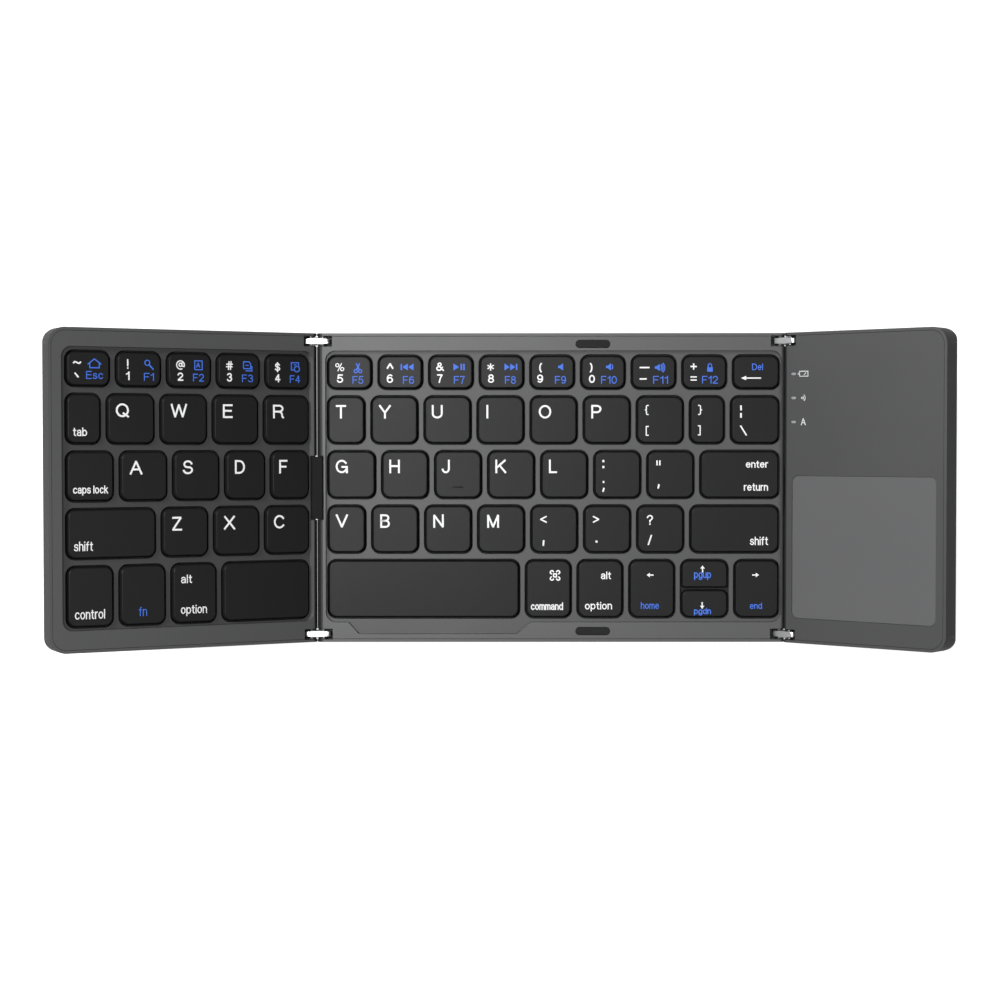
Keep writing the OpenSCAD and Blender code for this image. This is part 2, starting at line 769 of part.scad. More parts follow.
module ribbon_end(x, dir) {
    block([dir > 0 ? x : x - ribbon_tail, -ribbon_width / 2, ribbon_level - ribbon_thickness / 2],
          [dir > 0 ? x + ribbon_tail : x, ribbon_width / 2, ribbon_level + ribbon_thickness / 2]);
}

module centre_ribbon_tails() {
    color("darkorange") on_centre() {
        ribbon_end(-centre_width / 2 + strip_hold + strip_gap, 1);
        ribbon_end(centre_width / 2 - strip_hold - strip_gap, -1);
    }
}

// Notch in a cover's hinge edge where the left cable cover swings
module cable_notch(x, dir) {
    length = cable_cover_length + 2 * notch_end_gap;
    block([dir > 0 ? x - cut : x - notch_reach, -length / 2, cover_level - cut],
          [dir > 0 ? x + notch_reach : x + cut, length / 2, cut]);
}

module centre_number_keys() {
    color("black") on_centre() keys(centre_rows, centre_span, number_row, 0, 7);
}

module backspace_key() {
    color("black") on_centre() keys(centre_rows, centre_span, number_row, 8, 8);
}

module centre_upper_letter_keys() {
    color("black") on_centre() keys(centre_rows, centre_span, upper_row, 0, 8);
}

module centre_home_letter_keys() {
    color("black") on_centre() keys(centre_rows, centre_span, home_row, 0, 6);
}

module enter_key() {
    color("black") on_centre() keys(centre_rows, centre_span, home_row, 7, 7);
}

module centre_lower_letter_keys() {
    color("black") on_centre() keys(centre_rows, centre_span, lower_row, 0, 6);
}

module right_shift_key() {
    color("black") on_centre() keys(centre_rows, centre_span, lower_row, 7, 7);
}

module right_space_key() {
    color("black") on_centre() keys(centre_rows, centre_span, space_row, 0, 0);
}

module command_key() {
    color("black") on_centre() keys(centre_rows, centre_span, space_row, 1, 1);
}

module right_option_key() {
    color("black") on_centre() keys(centre_rows, centre_span, space_row, 2, 2);
}

module arrow_keys() {
    row = centre_rows[space_row];
    color("black") on_centre() {
        keys(centre_rows, centre_span, space_row, 3, 3);
        keys(centre_rows, centre_span, space_row, 5, 5);
        for (y = dome_rows(centre_rows, space_row, arrow_column))
            keycap(opening_x(row, arrow_column, centre_span), y,
                   opening_width(row, arrow_column, centre_span) - 2 * key_gap, half_arrow);
    }
}

// Left wing ------------------------------------------------------------------------------------

left_x = [-left_width, 0];
round_left = [true, false];
left_screws_at = [for (x = [-left_width + wing_screw_margin, -wing_screw_inset], y = [-1, 1])
    [x, y * screw_y]];
left_feet_at = [for (y = [-1, 1])
    [-left_width + foot_margin_x + wing_foot_length / 2, y * (panel_depth / 2 - foot_margin_y)]];
left_plate_x = [left_x[0] + base_wall + board_gap, left_x[1] - base_wall - board_gap];

module left_base() {
    color("dimgray") on_left_wing() difference() {
        base_shell(left_x[0], left_x[1], round_left, left_screws_at,
                   plate_ribs(left_x + [base_wall, -base_wall]), left_feet_at, wing_foot_length);
        ribbon_slot(0);
    }
}

module left_cover() {
    color("dimgray") on_left_wing() difference() {
        cover_body(left_x[0], left_x[1], round_left, left_screws_at);
        tray(left_span, left_tray);
        openings(left_rows, left_span);
        cable_notch(0, -1);
    }
}

module left_key_plate() {
    color("silver") on_left_wing()
        inner_sheet(left_plate_x, round_left, plate_level - plate_thickness, plate_level);
}

module left_membrane() {
    color("lightgray") on_left_wing()
        inner_sheet(left_plate_x, round_left, plate_level, membrane_level);
}

module left_key_domes() {
    color("white") on_left_wing() domes(left_rows, left_span);
}

module left_feet() {
    color("black") on_left_wing() foot_set(left_feet_at, wing_foot_length);
}

module left_screws() {
    color("silver") on_left_wing() screw_set(left_screws_at);
}

module left_hinge_brackets() {
    color("black") on_left_wing() bracket_pair(0, 1);
}

module left_ribbon_tail() {
    color("darkorange") on_left_wing() ribbon_end(-strip_hold - strip_gap, -1);
}

module left_number_keys() {
    color("black") on_left_wing() keys(left_rows, left_span, number_row, 0, 4);
}

module tab_key() {
    color("black") on_left_wing() keys(left_rows, left_span, upper_row, 0, 0);
}

module left_upper_letter_keys() {
    color("black") on_left_wing() keys(left_rows, left_span, upper_row, 1, 4);
}

module caps_lock_key() {
    color("black") on_left_wing() keys(left_rows, left_span, home_row, 0, 0);
}

module left_home_letter_keys() {
    color("black") on_left_wing() keys(left_rows, left_span, home_row, 1, 4);
}

module left_shift_key() {
    color("black") on_left_wing() keys(left_rows, left_span, lower_row, 0, 0);
}

module left_lower_letter_keys() {
    color("black") on_left_wing() keys(left_rows, left_span, lower_row, 1, 3);
}

module control_key() {
    color("black") on_left_wing() keys(left_rows, left_span, space_row, 0, 0);
}

module fn_key() {
    color("black") on_left_wing() keys(left_rows, left_span, space_row, 1, 1);
}

module left_option_key() {
    color("black") on_left_wing() keys(left_rows, left_span, space_row, 2, 2);
}

module left_space_key() {
    color("black") on_left_wing() keys(left_rows, left_span, space_row, 3, 3);
}

// Right wing -----------------------------------------------------------------------------------

right_x = [0, right_width];
round_right = [false, true];
right_screws_at = [for (x = [wing_screw_inset, right_width - wing_screw_margin], y = [-1, 1])
    [x, y * screw_y]];
right_feet_at = [for (y = [-1, 1])
    [right_width - foot_margin_x - wing_foot_length / 2, y * (panel_depth / 2 - foot_margin_y)]];
board_x = [base_wall + board_side_margin, right_width - base_wall - board_side_margin];
board_y = [touchpad_y + battery_size[1] / 2 + board_gap_front, panel_depth / 2 - board_rear_margin];
board_level = floor_level + board_rest + board_thickness;
right_ribs = [for (y = [board_y[0] + board_rib_front, board_y[1] - board_rib_rear])
    [base_wall + block_length + board_rib_end, y, right_width - base_wall - board_rib_end, y + rib_width,
     floor_level + board_rest]];

module right_base() {
    color("dimgray") on_right_wing() difference() {
        base_shell(right_x[0], right_x[1], round_right, right_screws_at, right_ribs,
                   right_feet_at, wing_foot_length);
        ribbon_slot(0);
        socket_mouth(socket_wall + seat);
    }
}

// Stadium-shaped hole through the rear wall, grown by some margin
module socket_mouth(grow) {
    translate([socket_inset, panel_depth / 2 + cut, socket_level]) rotate([90, 0, 0])
        linear_extrude(socket_length + cut)
            rounded(socket_width + 2 * grow, socket_height + 2 * grow, socket_height / 2 + grow - seat);
}

module right_cover() {
    color("dimgray") on_right_wing() difference() {
        cover_body(right_x[0], right_x[1], round_right, right_screws_at);
        plate(touchpad_x, touchpad_y, touchpad_width + 2 * seat, touchpad_depth + 2 * seat,
              touchpad_radius + seat, sensor_level, cut);
        plate(touchpad_x, touchpad_y, touchpad_width - 2 * touchpad_ledge,
              touchpad_depth - 2 * touchpad_ledge, touchpad_radius, cover_level - cut, cut);
        for (y = light_rows) plate(light_x, y, light_size[0] + 2 * seat, light_size[1] + 2 * seat,
                                   light_size[1] / 2, cover_level - cut, cut);
    }
}

module touchpad() {
    color("gray") on_right_wing()
        plate(touchpad_x, touchpad_y, touchpad_width, touchpad_depth, touchpad_radius,
              sensor_level, touchpad_level);
}

module touchpad_board() {
    color("darkgreen") on_right_wing()
        plate(touchpad_x, touchpad_y, touchpad_width - 2 * touchpad_ledge - 2 * board_gap,
              touchpad_depth - 2 * touchpad_ledge - 2 * board_gap, touchpad_radius,
              sensor_level - sensor_thickness, sensor_level);
}

module battery() {
    color("lightsteelblue") on_right_wing()
        plate(battery_x, touchpad_y, battery_size[0], battery_size[1], battery_radius,
              floor_level + battery_pad, floor_level + battery_pad + battery_size[2]);
}

module main_board() {
    color("darkgreen") on_right_wing() difference() {
        block([board_x[0], board_y[0], floor_level + board_rest], [board_x[1], board_y[1], board_level]);
        block([board_x[0] - cut, block_front - board_gap, -panel_thickness],
              [block_length + board_gap, panel_depth, face]);
        socket_mouth(socket_wall + board_gap);
    }
}

module usb_socket() {
    color("silver") on_right_wing() difference() {
        translate([socket_inset, panel_depth / 2 - socket_setback, socket_level]) rotate([90, 0, 0])
            linear_extrude(socket_length - socket_setback)
                rounded(socket_width + 2 * socket_wall, socket_height + 2 * socket_wall,
                        socket_height / 2 + socket_wall - seat);
        translate([socket_inset, panel_depth / 2 + cut, socket_level]) rotate([90, 0, 0])
            linear_extrude(socket_length - socket_back + cut)
                rounded(socket_width, socket_height, socket_height / 2 - seat);
    }
}

module indicator_lights() {
    color("white") on_right_wing() for (y = light_rows)
        plate(light_x, y, light_size[0], light_size[1], light_size[1] / 2 - seat,
              cover_level, -light_drop);
}

module right_feet() {
    color("black") on_right_wing() foot_set(right_feet_at, wing_foot_length);
}

module right_screws() {
    color("silver") on_right_wing() screw_set(right_screws_at);
}

module right_hinge_brackets() {
    color("black") on_right_wing() bracket_pair(0, -1);
}

module right_ribbon_tail() {
    color("darkorange") on_right_wing() ribbon_end(strip_hold + strip_gap, 1);
}

// Links ----------------------------------------------------------------------------------------

module left_links() {
    color("white") on_left_link() link_pair(-1);
}

module left_hinge_pins() {
    color("silver") on_left_link() pin_set(-1);
}

module left_cable_cover() {
    half = cable_cover_thickness / 2;
    reach = link_span / 2 - half - seat;
    color("black") on_left_link() translate([-link_span / 2, 0, 0]) along_y(cable_cover_length) {
        square([2 * reach, 2 * half], center = true);
        for (x = [-1, 1]) translate([x * reach, 0]) circle(half);
    }
}

module right_links() {
    color("white") on_right_link() link_pair(1);
}

module right_hinge_pins() {
    color("silver") on_right_link() pin_set(1);
}

// Strip of ribbon cable that crosses a gap under the pivots, from slot to slot
module cable_strip(side, link_lift, wing_lift) {
    start = [centre_width / 2 - strip_hold, ribbon_level];
    way = wing_point(link_lift, wing_lift, strip_hold, ribbon_level) - start;
    length = norm(way);
    on_centre() translate([side * start[0], 0, start[1]])
        rotate([0, -side * atan2(way[1], way[0]), 0])
            translate([side > 0 ? 0 : -length, -ribbon_width / 2, -ribbon_thickness / 2])
                cube([length, ribbon_width, ribbon_thickness]);
}

module left_cable_strip() {
    color("darkorange") cable_strip(-1, left_link_lift, left_wing_lift);
}

module right_cable_strip() {
    color("darkorange") cable_strip(1, right_link_lift, right_wing_lift);
}

centre_base();
centre_cover();
centre_key_plate();
centre_membrane();
centre_key_domes();
centre_bumpers();
centre_feet();
centre_screws();
centre_hinge_brackets();
centre_ribbon_tails();
centre_number_keys();
backspace_key();
centre_upper_letter_keys();
centre_home_letter_keys();
enter_key();
centre_lower_letter_keys();
right_shift_key();
right_space_key();
command_key();
right_option_key();
arrow_keys();
left_base();
left_cover();
left_key_plate();
left_membrane();
left_key_domes();
left_feet();
left_screws();
left_hinge_brackets();
left_ribbon_tail();
left_number_keys();
tab_key();
left_upper_letter_keys();
caps_lock_key();
left_home_letter_keys();
left_shift_key();
left_lower_letter_keys();
control_key();
fn_key();
left_option_key();
left_space_key();
right_base();
right_cover();
touchpad();
touchpad_board();
battery();
main_board();
usb_socket();
indicator_lights();
right_feet();
right_screws();
right_hinge_brackets();
right_ribbon_tail();
left_links();
left_hinge_pins();
left_cable_cover();
left_cable_strip();
right_links();
right_hinge_pins();
right_cable_strip();
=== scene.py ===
import bpy, bmesh, json, math
from mathutils import Matrix, Vector


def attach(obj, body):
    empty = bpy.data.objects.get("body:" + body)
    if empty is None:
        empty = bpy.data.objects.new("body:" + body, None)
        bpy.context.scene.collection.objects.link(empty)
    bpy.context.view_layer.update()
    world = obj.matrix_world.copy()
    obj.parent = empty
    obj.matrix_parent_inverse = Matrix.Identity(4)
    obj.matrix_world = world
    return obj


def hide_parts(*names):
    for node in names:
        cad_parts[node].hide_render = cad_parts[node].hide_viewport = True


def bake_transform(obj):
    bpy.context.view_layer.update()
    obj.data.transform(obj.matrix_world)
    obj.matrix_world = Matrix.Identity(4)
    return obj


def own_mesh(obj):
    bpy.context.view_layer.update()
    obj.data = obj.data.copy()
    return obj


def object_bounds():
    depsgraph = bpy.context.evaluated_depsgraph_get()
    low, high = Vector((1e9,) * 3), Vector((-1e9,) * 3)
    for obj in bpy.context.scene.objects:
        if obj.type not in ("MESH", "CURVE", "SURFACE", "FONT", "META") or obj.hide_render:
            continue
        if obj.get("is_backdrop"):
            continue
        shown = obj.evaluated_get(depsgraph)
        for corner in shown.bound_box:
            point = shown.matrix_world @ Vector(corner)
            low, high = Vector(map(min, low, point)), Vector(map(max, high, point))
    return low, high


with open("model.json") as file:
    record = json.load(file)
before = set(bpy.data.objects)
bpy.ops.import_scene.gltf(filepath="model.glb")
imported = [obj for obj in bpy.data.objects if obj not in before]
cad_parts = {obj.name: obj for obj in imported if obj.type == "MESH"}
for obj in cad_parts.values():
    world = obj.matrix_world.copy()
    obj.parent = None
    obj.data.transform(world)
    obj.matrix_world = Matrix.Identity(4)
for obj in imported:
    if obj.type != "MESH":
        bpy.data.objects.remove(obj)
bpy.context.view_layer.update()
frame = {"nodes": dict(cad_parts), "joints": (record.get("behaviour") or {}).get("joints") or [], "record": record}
mm = 0.001
print("frame loaded:", len(frame["nodes"]), "nodes")


# camera
panel = {
    "depth": 93.9 * mm,
    "centreWidth": 142.1 * mm,
    "top": 7.5 * mm,          # level of the centre panel's top face
    "pivotInset": 1.5 * mm,
    "keyDrop": 0.35 * mm,
    "linkY": 44.55 * mm,      # the hinge links' middles, front and rear
}
jointByName = {j["name"]: j for j in frame["joints"]}
leftPivot = Vector(jointByName["left_link_fold"]["pos_m"])
centreX = leftPivot.x + panel["centreWidth"] / 2 - panel["pivotInset"]

view = {
    "eye": (-13.55 * mm, 13.14 * mm, 623.65 * mm),   # from the middle of the centre panel's top face
    "turn": (-0.027, 0.0033, -0.0005),
    "lens": 73.87,
    "sensor": 36,
    "clip": (0.05, 20),
}


def addObject(name, data):
    thing = bpy.data.objects.new(name, data)
    bpy.context.scene.collection.objects.link(thing)
    return thing


def makeCamera(spec):
    data = bpy.data.cameras.new("camera")
    data.lens = spec["lens"]
    data.sensor_width = spec["sensor"]
    data.clip_start, data.clip_end = spec["clip"]
    camera = addObject("camera", data)
    camera.location = Vector(spec["eye"]) + Vector((centreX, 0, panel["top"]))
    camera.rotation_euler = spec["turn"]
    bpy.context.scene.camera = camera


makeCamera(view)


# shader maths
class Wire:
    # a shader socket that adds Math nodes when it is used in an expression
    def __init__(self, tree, port):
        self.tree = tree
        self.port = port

    def math(self, operation, a, b=None):
        values = {0: a} if b is None else {0: a, 1: b}
        return addNode(self.tree, "ShaderNodeMath", {"operation": operation}, values)

    def __add__(self, other):
        return self.math("ADD", self, other)

    def __mul__(self, other):
        return self.math("MULTIPLY", self, other)

    __radd__ = __add__
    __rmul__ = __mul__


def addNode(tree, kind, settings=None, values=None, output=0):
    node = tree.nodes.new(kind)
    for key, value in (settings or {}).items():
        if key == "stops":
            ramp = node.color_ramp
            while len(ramp.elements) < len(value):
                ramp.elements.new(0.5)
            for element, (place, colour) in zip(ramp.elements, value):
                element.position = place
                element.color = colour
        else:
            setattr(node, key, value)
    for key, value in (values or {}).items():
        if isinstance(value, Wire):
            tree.links.new(value.port, node.inputs[key])
        else:
            node.inputs[key].default_value = value
    return Wire(tree, node.outputs[output]) if node.outputs else None


def newMaterial(name):
    material = bpy.data.materials.new(name)
    material.use_nodes = True
    tree = material.node_tree
    tree.nodes.clear()
    return material, tree


def closeMaterial(tree, values):
    shader = addNode(tree, "ShaderNodeBsdfPrincipled", None, values)
    addNode(tree, "ShaderNodeOutputMaterial", None, {"Surface": shader})


def rgba(colour):
    return (*colour, 1)


def shade(colour, factor):
    return rgba([min(c * factor, 1) for c in colour])


def objectCoords(tree):
    return addNode(tree, "ShaderNodeTexCoord", None, None, "Object")


def noise(tree, coords, size, detail=2, rough=0.5):
    return addNode(tree, "ShaderNodeTexNoise", {"noise_dimensions": "3D"},
                   {"Vector": coords, "Scale": 1 / size, "Detail": detail, "Roughness": rough})


def mixColour(tree, factor, a, b):
    return addNode(tree, "ShaderNodeMix", {"data_type": "RGBA"}, {0: factor, 6: a, 7: b}, 2)


def bump(tree, height, depth):
    return addNode(tree, "ShaderNodeBump", None, {"Height": height, "Distance": depth})


# materials
def grainPlastic(name, spec):
    spec = {**plastic, **spec}
    material, tree = newMaterial(name)
    coords = objectCoords(tree)
    grain = noise(tree, coords, spec["grain"] * mm, 2, 0.6)
    fine = noise(tree, coords, spec["grain"] * mm * 0.35, 1, 0.5)
    clouds = noise(tree, coords, spec["cloud"] * mm, 3, 0.55)
    tone = clouds * 0.6 + grain * 0.4
    colour = mixColour(tree, tone, shade(spec["colour"], 1 - spec["vary"]),
                       shade(spec["colour"], 1 + spec["vary"]))
    rough = clouds * spec["roughVary"] + grain * spec["roughVary"] * 0.6 + spec["rough"]
    closeMaterial(tree, {"Base Color": colour, "Roughness": rough,
                         "Specular IOR Level": spec["gloss"],
                         "Normal": bump(tree, grain * 0.75 + fine * 0.25, spec["depth"] * mm)})
    return material


def brushedMetal(name, spec):
    material, tree = newMaterial(name)
    coords = objectCoords(tree)
    turned = addNode(tree, "ShaderNodeMapping", None,
                     {"Vector": coords, "Scale": tuple(1 / (s * mm) for s in spec["stroke"])})
    lines = addNode(tree, "ShaderNodeTexNoise", None,
                    {"Vector": turned, "Scale": 1.0, "Detail": 3.0, "Roughness": 0.6})
    spots = noise(tree, coords, spec["spot"] * mm, 3, 0.6)
    tone = lines * 0.5 + spots * 0.5
    colour = mixColour(tree, tone, shade(spec["colour"], 0.86), shade(spec["colour"], 1.06))
    closeMaterial(tree, {"Base Color": colour, "Metallic": spec.get("metallic", 1.0),
                         "Roughness": lines * 0.14 + spots * 0.08 + spec["rough"],
                         "Normal": bump(tree, lines, spec["depth"] * mm)})
    return material


def inkFilm(name, tint):
    material, tree = newMaterial(name)
    specks = noise(tree, objectCoords(tree), 0.35 * mm, 3, 0.6)
    colour = mixColour(tree, specks, shade(tint, 0.9), shade(tint, 1.08))
    closeMaterial(tree, {"Base Color": colour, "Roughness": specks * 0.2 + 0.42,
                         "Specular IOR Level": 0.3,
                         "Normal": bump(tree, specks, 0.004 * mm)})
    return material


def circuitBoard(spec):
    material, tree = newMaterial("board")
    coords = objectCoords(tree)
    cells = addNode(tree, "ShaderNodeTexVoronoi", {"distance": "CHEBYCHEV"},
                    {"Vector": coords, "Scale": 1 / (spec["cell"] * mm), "Randomness": 0.55})
    tracks = addNode(tree, "ShaderNodeValToRGB",
                     {"stops": [(0.30, (0, 0, 0, 1)), (0.36, (1, 1, 1, 1))]}, {"Fac": cells})
    dust = noise(tree, coords, spec["dust"] * mm, 3)
    colour = mixColour(tree, tracks, shade(spec["colour"], 1.5), shade(spec["colour"], 0.9))
    closeMaterial(tree, {"Base Color": colour, "Roughness": dust * 0.2 + 0.3,
                         "Normal": bump(tree, cells, spec["depth"] * mm)})
    return material


# Grain, clouds, strokes, spots and depths are in millimetres. A finish keeps what it doesn't name.
plastic = {"vary": 0.07, "rough": 0.40, "roughVary": 0.08, "grain": 0.28, "cloud": 24, "depth": 0.008,
           "gloss": 0.5}
finishes = {
    "shell": {"colour": (0.050, 0.0505, 0.0515), "vary": 0.06, "roughVary": 0.07, "gloss": 0.62},
    # the tray finishes are darker than the shell: painted shade in the sunk key trays, darker still on the left
    # wing
    "tray": {"colour": (0.043, 0.0434, 0.0442), "rough": 0.42, "depth": 0.009, "gloss": 0.56},
    "wingTray": {"colour": (0.036, 0.0363, 0.037), "rough": 0.43, "depth": 0.009, "gloss": 0.45},
    # lighter than the shell: a painted highlight on the left wing's sloped tray wall
    "traySlope": {"colour": (0.068, 0.0685, 0.0695), "rough": 0.42, "depth": 0.009, "gloss": 0.6},
    # darker colours for the hinge edges, in two steps: painted shade on the rounds beside the slits
    "hingeEdge": {"colour": (0.014, 0.014, 0.0144), "vary": 0.1, "rough": 0.5, "roughVary": 0.1,
                  "grain": 0.2, "cloud": 10, "gloss": 0.15},
    "hingeRound": {"colour": (0.026, 0.0263, 0.0268), "vary": 0.1, "rough": 0.45, "roughVary": 0.1,
                   "grain": 0.25, "cloud": 20, "gloss": 0.3},
    # darker base shells: partly two-tone paint, partly painted shade on the faces that turn sideways
    "shellSide": {"colour": (0.044, 0.0444, 0.0452), "vary": 0.08, "rough": 0.55, "grain": 0.25,
                  "cloud": 20, "gloss": 0.1},
    "key": {"colour": (0.0097, 0.0097, 0.0101), "vary": 0.1, "rough": 0.335, "roughVary": 0.05,
            "grain": 0.22, "cloud": 18, "depth": 0.007, "gloss": 0.138},
    "touchpad": {"colour": (0.098, 0.099, 0.101), "vary": 0.03, "roughVary": 0.05, "grain": 0.12,
                 "cloud": 30, "depth": 0.003},
    "rubber": {"colour": (0.009, 0.009, 0.0095), "vary": 0.12, "rough": 0.6, "roughVary": 0.12,
               "grain": 0.2, "cloud": 6, "depth": 0.012, "gloss": 0.25},
    "cableRubber": {"colour": (0.0062, 0.0062, 0.0064), "vary": 0.12, "rough": 0.55, "roughVary": 0.12,
                    "grain": 0.2, "cloud": 6, "depth": 0.01, "gloss": 0.14},
    "bracket": {"colour": (0.010, 0.010, 0.011), "vary": 0.15, "rough": 0.38, "roughVary": 0.15,
                "grain": 0.15, "cloud": 3, "depth": 0.006, "gloss": 0.4},
    "film": {"colour": (0.014, 0.013, 0.012), "vary": 0.15, "rough": 0.35, "roughVary": 0.1,
             "grain": 0.5, "cloud": 5, "depth": 0.01, "gloss": 0.3},
    "membrane": {"colour": (0.02, 0.02, 0.022), "vary": 0.2, "rough": 0.5, "roughVary": 0.15,
                 "grain": 0.6, "cloud": 9, "depth": 0.01, "gloss": 0.4},
    "dome": {"colour": (0.62, 0.62, 0.6), "vary": 0.06, "roughVary": 0.1, "grain": 0.3, "cloud": 4,
             "depth": 0.01},
    "lens": {"colour": (0.27, 0.275, 0.285), "vary": 0.08, "rough": 0.3, "roughVary": 0.1,
             "grain": 0.2, "cloud": 2, "depth": 0.004},
}
metals = {
    "linkSteel": {"colour": (0.84, 0.85, 0.86), "rough": 0.24, "stroke": (0.9, 0.05, 0.9), "spot": 1.2,
                  "depth": 0.002},
    "pinSteel": {"colour": (0.55, 0.56, 0.58), "rough": 0.25, "stroke": (0.05, 0.6, 0.05), "spot": 1,
                 "depth": 0.004},
    "screwSteel": {"colour": (0.30, 0.31, 0.33), "rough": 0.28, "stroke": (0.3, 0.3, 0.3), "spot": 0.8,
                   "depth": 0.006},
    "sheetMetal": {"colour": (0.5, 0.51, 0.53), "rough": 0.35, "stroke": (6, 0.12, 6), "spot": 8,
                   "depth": 0.008},
    "plateSteel": {"colour": (0.030, 0.030, 0.032), "rough": 0.45, "stroke": (6, 0.12, 6), "spot": 8,
                   "depth": 0.006, "metallic": 0.3},
    "pouchFoil": {"colour": (0.62, 0.64, 0.68), "rough": 0.3, "stroke": (4, 4, 4), "spot": 5,
                  "depth": 0.15},
}
inks = {"whiteInk": (0.84, 0.84, 0.84), "blueInk": (0.048, 0.155, 0.68), "greyInk": (0.56, 0.56, 0.57)}
boardFinish = {"colour": (0.02, 0.13, 0.05), "cell": 1.8, "dust": 0.4, "depth": 0.03}
materials = {"board": circuitBoard(boardFinish)}
for make, specs in ((grainPlastic, finishes), (brushedMetal, metals), (inkFilm, inks)):
    materials.update({name: make(name, spec) for name, spec in specs.items()})
print("materials made:", len(materials))


# working frames of the panels
# each maps a panel's own millimetre plan (top face at z 0) to the keyboard
def wingFrame(side, name):
    link = jointByName[name + "_link_fold"]
    wing = jointByName[name + "_wing_fold"]
    lift = -math.radians(link["range_deg"][0] + wing["range_deg"][0])
    inset = panel["pivotInset"]
    return (Matrix.Translation(Vector(wing["pos_m"]))
            @ Matrix.Rotation(-side * lift, 4, "Y")
            @ Matrix.Translation((-side * inset, 0, inset)))


frames = {
    "centre": Matrix.Translation((centreX, 0, panel["top"])),
    "left_wing": wingFrame(-1, "left"),
    "right_wing": wingFrame(1, "right"),
}
hingeEdges = {     # x of each hinge edge in its panel's plan, and the way into the panel
    "centre": [(-panel["centreWidth"] / 2, 1), (panel["centreWidth"] / 2, -1)],
    "left_wing": [(0, -1)],
    "right_wing": [(0, 1)],
}
# the edges that growLip draws out, at the left gap
drawnEdges = {"centre": hingeEdges["centre"][:1], "left_wing": hingeEdges["left_wing"],
              "right_wing": []}


# mesh helpers
mergeGap = 0.002 * mm      # the solids' corners that stand closer than this are one


def finishPiece(bm, name, body, material, nodes=(), sharp=60, weighted=False):
    bm.normal_update()
    mesh = bpy.data.meshes.new(name)
    bm.to_mesh(mesh)
    bm.free()
    for polygon in mesh.polygons:
        polygon.use_smooth = True
    mesh.set_sharp_from_angle(angle=math.radians(sharp))
    mesh.materials.append(material)
    piece = addObject(name, mesh)
    if weighted:
        piece.modifiers.new("evenly", "WEIGHTED_NORMAL").keep_sharp = True
    if body:
        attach(piece, body)
    if nodes:
        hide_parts(*nodes)
    return piece


def only(kind, geom):
    return [part for part in geom if isinstance(part, kind)]


def roundOff(bm, geom, width, segments=3, affect="EDGES", clamp=True):
    bmesh.ops.bevel(bm, geom=geom, offset=width, offset_type="OFFSET", segments=segments, profile=0.5,
                    affect=affect, clamp_overlap=clamp, material=-1)


def pull(bm, edges, drop):
    # new faces from a row of edges, straight up or down
    made = bmesh.ops.extrude_edge_only(bm, edges=edges)["geom"]
    bmesh.ops.translate(bm, verts=only(bmesh.types.BMVert, made), vec=(0, 0, drop))
    return made


def raiseFaces(bm, faces, height):
    made = bmesh.ops.extrude_face_region(bm, geom=faces)["geom"]
    bmesh.ops.translate(bm, verts=only(bmesh.types.BMVert, made), vec=(0, 0, height))


def pour(source, target):
    # the shape of source is added to that of target
    mesh = bpy.data.meshes.new("part")
    source.to_mesh(mesh)
    source.free()
    target.from_mesh(mesh)
    bpy.data.meshes.remove(mesh)


def turnOut(bm):
    bmesh.ops.recalc_face_normals(bm, faces=bm.faces)


def moveAll(bm, matrix):
    bmesh.ops.transform(bm, matrix=matrix, verts=bm.verts)


def nodeCopy(node):
    bm = bmesh.new()
    bm.from_mesh(frame["nodes"][node].data)
    bmesh.ops.remove_doubles(bm, verts=bm.verts, dist=mergeGap)
    return bm


def bevelSharp(bm, width, angle=35):
    roundOff(bm, [e for e in bm.edges if e.is_manifold and e.calc_face_angle(0) > math.radians(angle)],
             width, 2)


def bodyOf(node):
    return next(b for b, members in frame["record"]["behaviour"]["bodies"].items() if node in members)


def smoothCopy(node):
    # its flat faces in one piece each
    bm = nodeCopy(node)
    bmesh.ops.dissolve_limit(bm, angle_limit=math.radians(0.5), verts=bm.verts, edges=bm.edges)
    return bm


def dressedCopy(node, materialName, width, reshape=None):
    # a CAD node's own shape with its edges rounded
    bm = smoothCopy(node)
    if reshape:
        reshape(bm)
    bevelSharp(bm, width)
    return finishPiece(bm, node + "_dressed", bodyOf(node), materials[materialName],
                       [node], weighted=True)


# shells
shells = {
    "edge": 0.16 * mm,
    "lipDepth": 0.45 * mm,    # how far in from the left hinge's edges a shell is drawn out
    "lipGrow": (0.212 * mm, 0.245 * mm),    # at the rear end, and from the middle to the front
    "lipTaper": 30 * mm,      # from the middle to where the rear value holds
    # the hinge edges have darker colours, painted shade on their rounds beside the slits: how far in each goes, at
    # each hinge edge of a panel
    "roundLipShade": {"centre": (1.45 * mm, 0.5 * mm), "left_wing": (1.2 * mm,), "right_wing": (1.2 * mm,)},
    "darkLipShade": {"centre": (0.8 * mm, 0.5 * mm), "left_wing": (0.95 * mm,), "right_wing": (0.95 * mm,)},
    "rim": 0.9 * mm,
    "groove": 0.2 * mm,
    "coverGrow": 0.1 * mm,    # the top covers fill half of the groove around them
    "cornerRadius": 5 * mm,
    "sideDrop": 0.3 * mm,     # below this level a base shell is darker, as two-tone paint,
    "sideLean": 0.6,          # and so is a face whose direction rises less than this: painted shade on the sides
    "trayDrop": 0.75 * mm,    # below this level a cover has the darker finish of the sunk trays, painted shade
    "trayDepth": 1.5 * mm,
    "traySlope": 0.75 * mm,   # how far the left wing's tray wall slopes, where it faces the hinge
    "wallTurn": 0.3,
    "wallRise": 0.1,
    "wallReach": 4 * mm,
}


